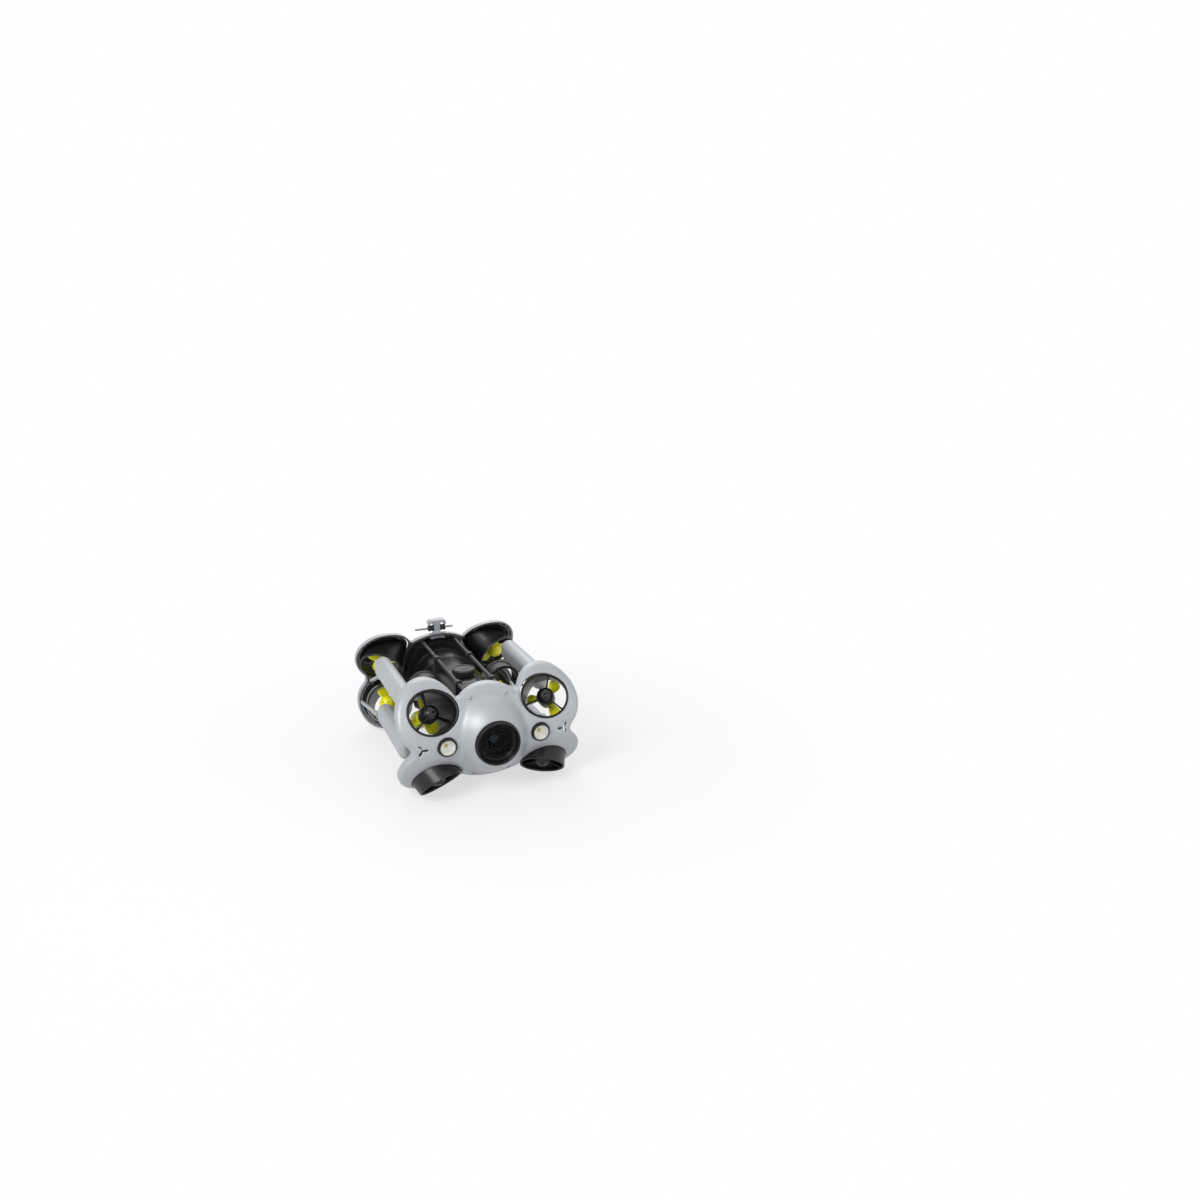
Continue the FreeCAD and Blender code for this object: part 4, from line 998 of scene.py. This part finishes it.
def socket():
    """Round connector with a knurled ring, a stepped bore and contact pins."""
    r, depth, (x, front, z) = round_node("tether_socket")
    end = front + depth
    bore = [(-14, 0.0), (-14, 8.0), (-6, 8.0), (-6, 9.0), (-0.6, 9.0), (0.0, 9.6), (0.0, 13.0)]
    face = [(-1.6, 13.4), (-1.6, 15.4), (-0.4, 15.8), (-0.4, r - 1.2), (-1.4, r - 0.2), (-9.0, r - 0.2)]
    back = [(-9.8, r - 1.0), (-48.7, r - 1.0), (-48.7, 12.0), (-depth, 12.0), (-depth, 0.0)]
    pin = [(-14.5, 0.0), (-14.5, 0.8), (-8.4, 0.8), (-8.0, 0.4), (-8.0, 0.0)]

    def knurl(along, angle, radius):
        on_ring = (along > -9.2) & (along < -1.2) & (radius > r - 0.6)
        return np.where(on_ring, 0.2 * np.cos(36 * angle), 0.0)

    patches = [turned(rounded(bore + face + back, 0.5), (x, end, z), (0, 1, 0), 288, waves=knurl)]
    for turn in np.linspace(0, 2 * math.pi, 6, endpoint=False):
        at = (x + 4.0 * math.cos(turn), end, z + 4.0 * math.sin(turn))
        patches.append(turned(pin, at, (0, 1, 0), 16))
    return patches


# ---- materials -----------------------------------------------------------------------------

def paint_of(name):
    return getattr(bpy.context.scene.vehicle_sizes.colours, name)


def linear(colour):
    """Display colour to the shader's linear values."""
    c = np.asarray(colour[:3], float)
    return (*np.where(c <= 0.04045, c / 12.92, ((c + 0.055) / 1.055) ** 2.4), 1.0)


def new_group(name, inputs, outputs):
    """Empty shader node group with named sockets, its inputs by name, and its output node."""
    group = bpy.data.node_groups.new(name, "ShaderNodeTree")
    for label, kind, default in inputs:
        socket_made = group.interface.new_socket(name=label, in_out="INPUT", socket_type=kind)
        socket_made.default_value = default
    for label, kind in outputs:
        group.interface.new_socket(name=label, in_out="OUTPUT", socket_type=kind)
    return group, group.nodes.new("NodeGroupInput").outputs, group.nodes.new("NodeGroupOutput")


def feed(node, values):
    """Set inputs of a node to plain values, or link them from outputs."""
    for key, value in values.items():
        if isinstance(value, bpy.types.NodeSocket):
            node.id_data.links.new(value, node.inputs[key])
        else:
            node.inputs[key].default_value = value


def add_node(tree, kind, values=None, **settings):
    """New node with its settings and the values of its inputs."""
    node = tree.nodes.new(kind)
    for key, value in settings.items():
        setattr(node, key, value)
    feed(node, values or {})
    return node


def noise(tree, scale, detail, rough=0.55):
    """Noise in the piece's own coordinates."""
    place = add_node(tree, "ShaderNodeTexCoord").outputs["Object"]
    values = {"Detail": detail, "Roughness": rough, "Vector": place, "Scale": scale}
    return add_node(tree, "ShaderNodeTexNoise", values).outputs["Fac"]


def spread(tree, value, low, high, to_low=0.0, to_high=1.0, **settings):
    """A value carried from one range to another."""
    values = {"Value": value, "From Min": low, "From Max": high, "To Min": to_low, "To Max": to_high}
    return add_node(tree, "ShaderNodeMapRange", values, **settings).outputs["Result"]


def blend(tree, share, first, second):
    """Mix of two colours."""
    return add_node(tree, "ShaderNodeMix", {"Factor": share, 6: first, 7: second}, data_type="RGBA").outputs[2]


def combine(tree, operation, first, second):
    """Two values joined by a sum, a product or the like."""
    return add_node(tree, "ShaderNodeMath", {0: first, 1: second}, operation=operation).outputs[0]


def new_material(name, values):
    """Material with values on its main shader."""
    material = bpy.data.materials.new(name)
    material.use_nodes = True
    shader = material.node_tree.nodes["Principled BSDF"]
    feed(shader, values)
    return material, material.node_tree, shader


def grain_group():
    """Cast or moulded grain: colour and roughness vary with coarse noise, height with fine noise."""
    name = "Moulded grain"
    if name in bpy.data.node_groups:
        return bpy.data.node_groups[name]
    group, source, result = new_group(name, [
        ("Colour", "NodeSocketColor", (0.5, 0.5, 0.5, 1.0)),
        ("Shift", "NodeSocketColor", (0.4, 0.4, 0.4, 1.0)),
        ("Grain scale", "NodeSocketFloat", 1500.0),
        ("Patch scale", "NodeSocketFloat", 40.0),
        ("Roughness low", "NodeSocketFloat", 0.35),
        ("Roughness high", "NodeSocketFloat", 0.5),
    ], [("Colour", "NodeSocketColor"), ("Roughness", "NodeSocketFloat"), ("Height", "NodeSocketFloat")])
    fine = noise(group, source["Grain scale"], 2.0, 0.6)
    patch = spread(group, noise(group, source["Patch scale"], 4.0, 0.6), 0.35, 0.7)
    feed(result, {
        "Colour": blend(group, patch, source["Colour"], source["Shift"]),
        "Roughness": spread(group, fine, 0.3, 0.7, source["Roughness low"], source["Roughness high"]),
        "Height": fine,
    })
    return group


def wear_group():
    """Mask of rubbed edges: where the surface is sharply convex and a noise lets it through."""
    name = "Rubbed edges"
    if name in bpy.data.node_groups:
        return bpy.data.node_groups[name]
    group, source, result = new_group(name, [("Amount", "NodeSocketFloat", 0.5)],
                                      [("Mask", "NodeSocketFloat")])
    point = add_node(group, "ShaderNodeNewGeometry").outputs["Pointiness"]
    patch = spread(group, noise(group, 160.0, 5.0, 0.7), 0.42, 0.62)
    rubbed = combine(group, "MULTIPLY", spread(group, point, 0.53, 0.62), patch)
    feed(result, {"Mask": combine(group, "MULTIPLY", rubbed, source["Amount"])})
    return group


def finish(name, colour, shift, rough, metallic=0.0, grain=1500.0, patch=40.0, height=0.05, depth=0.02, coat=0.0,
           specular=0.5, wear=0.0, wear_colour=None):
    """Material with grain, patches darker by the factor shift, and rubbed edges where wear is above 0."""
    if name in bpy.data.materials:
        return bpy.data.materials[name]
    material, tree, shader = new_material(name, {"Metallic": metallic, "Specular IOR Level": specular})
    if coat:
        feed(shader, {"Coat Weight": coat, "Coat Roughness": 0.12})
    base = linear(colour)
    grained = add_node(tree, "ShaderNodeGroup", node_tree=grain_group())
    feed(grained, {
        "Colour": base, "Shift": (base[0] * shift, base[1] * shift, base[2] * shift, 1.0),
        "Grain scale": grain, "Patch scale": patch, "Roughness low": rough[0], "Roughness high": rough[1],
    })
    colour_out = grained.outputs["Colour"]
    if wear:
        worn = add_node(tree, "ShaderNodeGroup", node_tree=wear_group())
        feed(worn, {"Amount": wear})
        colour_out = blend(tree, worn.outputs["Mask"], colour_out, linear(wear_colour))
    bump = add_node(tree, "ShaderNodeBump", {
        "Strength": height, "Distance": depth * MM, "Height": grained.outputs["Height"],
    })
    feed(shader, {
        "Base Color": colour_out, "Roughness": grained.outputs["Roughness"], "Normal": bump.outputs["Normal"],
    })
    return material


def glass(name, tint, ior, rough=0.02):
    """Coated glass with little reflection and faint smears in its roughness."""
    if name in bpy.data.materials:
        return bpy.data.materials[name]
    material, tree, shader = new_material(name, {
        "Base Color": linear(tint), "Transmission Weight": 1.0, "IOR": ior,
    })
    feed(shader, {"Roughness": spread(tree, noise(tree, 120.0, 3.0), 0.4, 0.75, rough, rough + 0.05)})
    return material


def silver():
    return finish("Satin silver", paint_of("silver"), 0.965, (0.42, 0.52), metallic=0.35, grain=2600.0,
                  patch=26.0,
                  height=0.10, depth=0.03, wear=0.25, wear_colour=(0.9, 0.9, 0.91))


def duct_black():
    return finish("Duct black", paint_of("black"), 0.8, (0.30, 0.40), grain=1800.0, patch=60.0, coat=0.12,
                  specular=0.35, wear=0.3, wear_colour=(0.3, 0.3, 0.31))


def fitting_black():
    return finish("Fitting black", (0.10, 0.10, 0.105), 0.8, (0.38, 0.52), grain=2200.0, patch=80.0, height=0.15,
                  depth=0.05, wear=0.35, wear_colour=(0.33, 0.33, 0.34))


def plate_black():
    return finish("Plate black", (0.085, 0.087, 0.092), 0.75, (0.34, 0.5), grain=2200.0, patch=80.0, height=0.2,
                  depth=0.05, wear=0.5, wear_colour=(0.38, 0.38, 0.39))


def hull_black():
    return finish("Hull anodised", paint_of("hull"), 0.85, (0.26, 0.36), metallic=0.4, grain=3200.0, patch=30.0,
                  height=0.06)


def bezel_black():
    return finish("Bezel anodised", (0.12, 0.12, 0.125), 0.85, (0.25, 0.34), metallic=0.55, grain=3000.0,
                  patch=60.0, wear=0.35, wear_colour=(0.45, 0.45, 0.46))


def yellow():
    return finish("Propeller yellow", paint_of("yellow"), 0.93, (0.28, 0.38), patch=70.0, coat=0.25)


def steel():
    return finish("Turned steel", (0.62, 0.62, 0.63), 0.85, (0.24, 0.38), metallic=0.95, grain=2500.0, patch=90.0)


def rubber():
    return finish("Roller rubber", (0.08, 0.08, 0.08), 0.8, (0.55, 0.7), grain=1600.0, patch=90.0, height=0.25,
                  depth=0.06)


def lamp_metal():
    return finish("Lamp metal", (0.22, 0.225, 0.23), 0.85, (0.25, 0.36), metallic=0.8, grain=2600.0, patch=90.0)


def reflector_white():
    return finish("Reflector white", (0.96, 0.96, 0.95), 0.98, (0.25, 0.35), grain=1200.0, patch=90.0,
                  height=0.02)


def chip_yellow():
    return finish("Light chip", (0.80, 0.78, 0.38), 0.85, (0.4, 0.5), grain=3000.0, patch=500.0, height=0.1)


def camera_black():
    return finish("Camera black", (0.022, 0.022, 0.024), 0.8, (0.4, 0.5), grain=2600.0, patch=90.0, height=0.03,
                  specular=0.2)


def lens_black():
    return finish("Coated lens", (0.02, 0.02, 0.03), 0.9, (0.06, 0.09), grain=2600.0, patch=90.0, height=0.0,
                  coat=0.8, specular=0.8)


def battery_wrap():
    return finish("Battery wrap", (0.12, 0.2, 0.42), 0.9, (0.3, 0.45), grain=900.0, height=0.2)


def board_green():
    return finish("Circuit board", (0.08, 0.3, 0.16), 0.8, (0.3, 0.5), grain=1200.0, patch=200.0, height=0.2)


# ---- operators -----------------------------------------------------------------------------

class VEHICLE_OT_shells(bpy.types.Operator):
    """Build the two end shells"""
    bl_idname = "vehicle.shells"
    bl_label = "End shells"

    def execute(self, context):
        for end in ENDS:
            make_piece(f"{end}_shell_skin", shell_skin(end), f"{end}_shell", silver(), sharp=62)
            make_piece(f"{end}_shell_studs", inner_trim(end), None, silver())
        return {"FINISHED"}


class VEHICLE_OT_plates(bpy.types.Operator):
    """Build the black plates inside the shells"""
    bl_idname = "vehicle.plates"
    bl_label = "Inner plates"

    def execute(self, context):
        for end in ENDS:
            for side in SIDES:
                make_piece(f"inner_plate_{end}_{side}", inner_plate(end, side), f"liner_{end}_{side}",
                           plate_black(), sharp=40)
        return {"FINISHED"}


class VEHICLE_OT_thrusters(bpy.types.Operator):
    """Build the ducts, motor pods and propellers"""
    bl_idname = "vehicle.thrusters"
    bl_label = "Thrusters"

    def execute(self, context):
        for key in thruster_axes():
            make_piece(f"duct_wall_{key}", [duct_wall(key), *duct_struts(key)], f"duct_{key}",
                       duct_black())
            make_piece(f"motor_pod_{key}", motor_pod(key), f"motor_{key}", duct_black())
            make_piece(f"screw_propeller_{key}", propeller(key), f"propeller_{key}", yellow(),
                       body=f"spin_{key}", sharp=50)
        return {"FINISHED"}


class VEHICLE_OT_beams(bpy.types.Operator):
    """Build the four side beams and their arms"""
    bl_idname = "vehicle.beams"
    bl_label = "Side beams"

    def execute(self, context):
        for level in LEVELS:
            for side in SIDES:
                make_piece(f"beam_{level}_{side}", side_beam(level, side), f"side_beam_{level}_{side}",
                           silver())
        return {"FINISHED"}


class VEHICLE_OT_hull(bpy.types.Operator):
    """Build the pressure hull, its saddles and the port cap"""
    bl_idname = "vehicle.hull"
    bl_label = "Hull"

    def execute(self, context):
        make_piece("hull_tube", hull_tube(), "pressure_hull", hull_black())
        for side in SIDES:
            make_piece(f"saddle_{side}", saddle(side), f"hull_saddle_{side}", fitting_black())
        make_piece("ribbed_port_cap", port_cap(), "port_cap", fitting_black(),
                   body="port_cap_turn")
        return {"FINISHED"}


class VEHICLE_OT_camera(bpy.types.Operator):
    """Build the camera and the two lamps"""
    bl_idname = "vehicle.camera"
    bl_label = "Camera and lamps"

    def execute(self, context):
        window_glass = glass("Window glass", (0.66, 0.69, 0.72), 1.15)
        lamp_glass = glass("Lamp glass", (0.99, 0.99, 0.99), 1.2)
        make_piece("camera_ring", camera_ring(), "camera_bezel", bezel_black())
        make_piece("camera_glass", window_disc("camera_window", 0.5), "camera_window",
                   window_glass)
        make_piece("camera_barrel", camera_barrel(), "camera_module", camera_black())
        make_piece("camera_inner_lens", inner_lens(), None, lens_black())
        for side in SIDES:
            lens, bowl = f"lamp_lens_{side}", f"lamp_reflector_{side}"
            make_piece(f"lamp_body_{side}", lamp_body(side), f"lamp_housing_{side}",
                       lamp_metal())
            make_piece(f"lamp_bowl_{side}", lamp_bowl(side), bowl, reflector_white())
            make_piece(f"lamp_glass_{side}", window_disc(lens, 0.2), lens, lamp_glass)
        chips = [patch for side in SIDES for patch in lamp_chip(side)]
        make_piece("light_chips", chips, "lamp_chips", chip_yellow())
        return {"FINISHED"}


class VEHICLE_OT_fittings(bpy.types.Operator):
    """Build the bracket, its pin, the conduits, the screws and the tether socket"""
    bl_idname = "vehicle.fittings"
    bl_label = "Fittings"

    def execute(self, context):
        rods = [patch for side in SIDES.values() for patch in conduit(side)]
        make_piece("towing_bracket", tow_bracket(), "tow_bracket", silver())
        make_piece("cross_pin", cross_pin(), "bracket_pin", steel())
        make_piece("pin_rollers", rollers(), "bracket_rollers", rubber())
        make_piece("cable_conduits", rods, "conduit_rods", fitting_black())
        make_piece("hex_screws", screws(), "flange_screws", steel())
        make_piece("round_socket", socket(), "tether_socket", steel())
        return {"FINISHED"}


class VEHICLE_OT_plain_nodes(bpy.types.Operator):
    """Finish the nodes of the frame that stay shown"""
    bl_idname = "vehicle.plain_nodes"
    bl_label = "Nodes kept from the frame"

    def execute(self, context):
        kept = {
            "front_end_cap": bezel_black(), "rear_end_cap": bezel_black(), "seal_rings": rubber(),
            "battery_pack": battery_wrap(), "electronics_tray": board_green(), "conduit_clips": fitting_black(),
        }
        for name, material in kept.items():
            mesh = frame["nodes"][name].data
            mesh.materials.clear()
            mesh.materials.append(material)
        return {"FINISHED"}


class VEHICLE_OT_stage(bpy.types.Operator):
    """Set up the floor, the lights and the camera"""
    bl_idname = "vehicle.stage"
    bl_label = "Stage"

    def execute(self, context):
        scene = context.scene
        floor_mesh = bpy.data.meshes.new("floor")
        corners = [(x, y, 0) for x, y in ((-12, -12), (12, -12), (12, 12), (-12, 12))]
        floor_mesh.from_pydata(corners, [], [(0, 1, 2, 3)])
        floor_mesh.materials.append(floor_material())
        floor = bpy.data.objects.new("floor", floor_mesh)
        scene.collection.objects.link(floor)
        world = bpy.data.worlds.new("studio")
        scene.world = world
        world.use_nodes = True
        light_world(world.node_tree)
        add_light("key", (-1.3, -1.0, 1.5), 0.9, 23.0)
        add_light("fill", (1.2, -1.6, 0.7), 1.2, 3.0)
        add_light("rim", (0.4, 1.4, 1.4), 1.2, 9.0)
        camera_data = bpy.data.cameras.new("camera")
        camera_data.sensor_width = 36.0
        camera_data.lens = 30.99
        camera = bpy.data.objects.new("camera", camera_data)
        camera.location = (-0.4004, -1.4627, AXIS_Z * MM + 0.5928)
        camera.rotation_euler = (math.radians(73.9), 0.0, math.radians(-23.5))
        scene.collection.objects.link(camera)
        scene.camera = camera
        scene.view_settings.view_transform = "Standard"
        return {"FINISHED"}


def add_light(name, place, size, power):
    """Square area light that points at the vehicle."""
    data = bpy.data.lights.new(name, "AREA")
    data.size = size
    data.energy = power
    light = bpy.data.objects.new(name, data)
    light.location = place
    light.rotation_euler = (Vector((0, 0, 0.08)) - Vector(place)).to_track_quat("-Z", "Y").to_euler()
    bpy.context.scene.collection.objects.link(light)


def seen_as_background(tree):
    """1 for camera, glossy and transmitted rays, 0 for light that falls on surfaces."""
    path = add_node(tree, "ShaderNodeLightPath").outputs
    seen = combine(tree, "MAXIMUM", path["Is Camera Ray"], path["Is Glossy Ray"])
    return combine(tree, "MAXIMUM", seen, path["Is Transmission Ray"])


def light_world(tree):
    """White as a background, softer as a light."""
    colour = blend(tree, seen_as_background(tree), (0.50, 0.50, 0.505, 1.0), (1.0, 1.0, 1.0, 1.0))
    feed(tree.nodes["Background"], {"Color": colour, "Strength": 1.0})


def floor_material():
    """Pale floor that fades into the white background and keeps the shadow near the vehicle."""
    material, tree, shader = new_material("Pale floor", {
        "Base Color": linear(paint_of("floor")), "Roughness": 0.9, "Specular IOR Level": 0.1,
    })
    glow = add_node(tree, "ShaderNodeEmission")
    place = add_node(tree, "ShaderNodeTexCoord").outputs["Object"]
    far = add_node(tree, "ShaderNodeVectorMath", {0: place}, operation="LENGTH").outputs["Value"]
    fade = spread(tree, far, 0.15, 0.75, 0.62, 1.0, interpolation_type="SMOOTHSTEP")
    share = combine(tree, "MULTIPLY", fade, seen_as_background(tree))
    mix = add_node(tree, "ShaderNodeMixShader", {
        "Fac": share, 1: shader.outputs["BSDF"], 2: glow.outputs["Emission"],
    })
    feed(tree.nodes["Material Output"], {"Surface": mix.outputs["Shader"]})
    return material


class VehicleSizes(bpy.types.PropertyGroup):
    shell: PointerProperty(type=VehicleShellSizes, name="Shells", description="Sizes of the end shells")
    thruster: PointerProperty(type=VehicleThrusterSizes, name="Thrusters", description="Sizes of the thrusters")
    beam: PointerProperty(type=VehicleBeamSizes, name="Beams", description="Sizes of the side beams")
    fitting: PointerProperty(type=VehicleFittingSizes, name="Fittings", description="Sizes of the fittings")
    colours: PointerProperty(type=VehicleColours, name="Colours", description="Colours of the finishes")


OPERATORS = (VEHICLE_OT_stage, VEHICLE_OT_shells, VEHICLE_OT_plates, VEHICLE_OT_thrusters, VEHICLE_OT_beams,
             VEHICLE_OT_hull, VEHICLE_OT_camera, VEHICLE_OT_fittings, VEHICLE_OT_plain_nodes)


class VEHICLE_PT_build(bpy.types.Panel):
    """Buttons that build the vehicle, and its sizes and colours"""
    bl_label = "Inspection vehicle"
    bl_idname = "VEHICLE_PT_build"
    bl_space_type = "VIEW_3D"
    bl_region_type = "UI"
    bl_category = "Vehicle"

    def draw(self, context):
        for operator in OPERATORS:
            self.layout.operator(operator.bl_idname)
        for group in ("shell", "thruster", "beam", "fitting", "colours"):
            box = self.layout.box()
            box.label(text=group.title())
            values = getattr(context.scene.vehicle_sizes, group)
            for name in values.__annotations__:
                box.prop(values, name)


CLASSES = (VehicleShellSizes, VehicleThrusterSizes, VehicleBeamSizes, VehicleFittingSizes, VehicleColours,
           VehicleSizes, *OPERATORS, VEHICLE_PT_build)


def register():
    for one in CLASSES:
        bpy.utils.register_class(one)
    bpy.types.Scene.vehicle_sizes = PointerProperty(type=VehicleSizes, name="Vehicle sizes",
                                                    description="Sizes and colours of the vehicle")


def unregister():
    del bpy.types.Scene.vehicle_sizes
    for one in reversed(CLASSES):
        bpy.utils.unregister_class(one)


def main():
    """Register the add-on and build every piece."""
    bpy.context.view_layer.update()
    register()
    for operator in OPERATORS:
        category, name = operator.bl_idname.split(".")
        getattr(getattr(bpy.ops, category), name)()


if __name__ == "__main__":
    main()
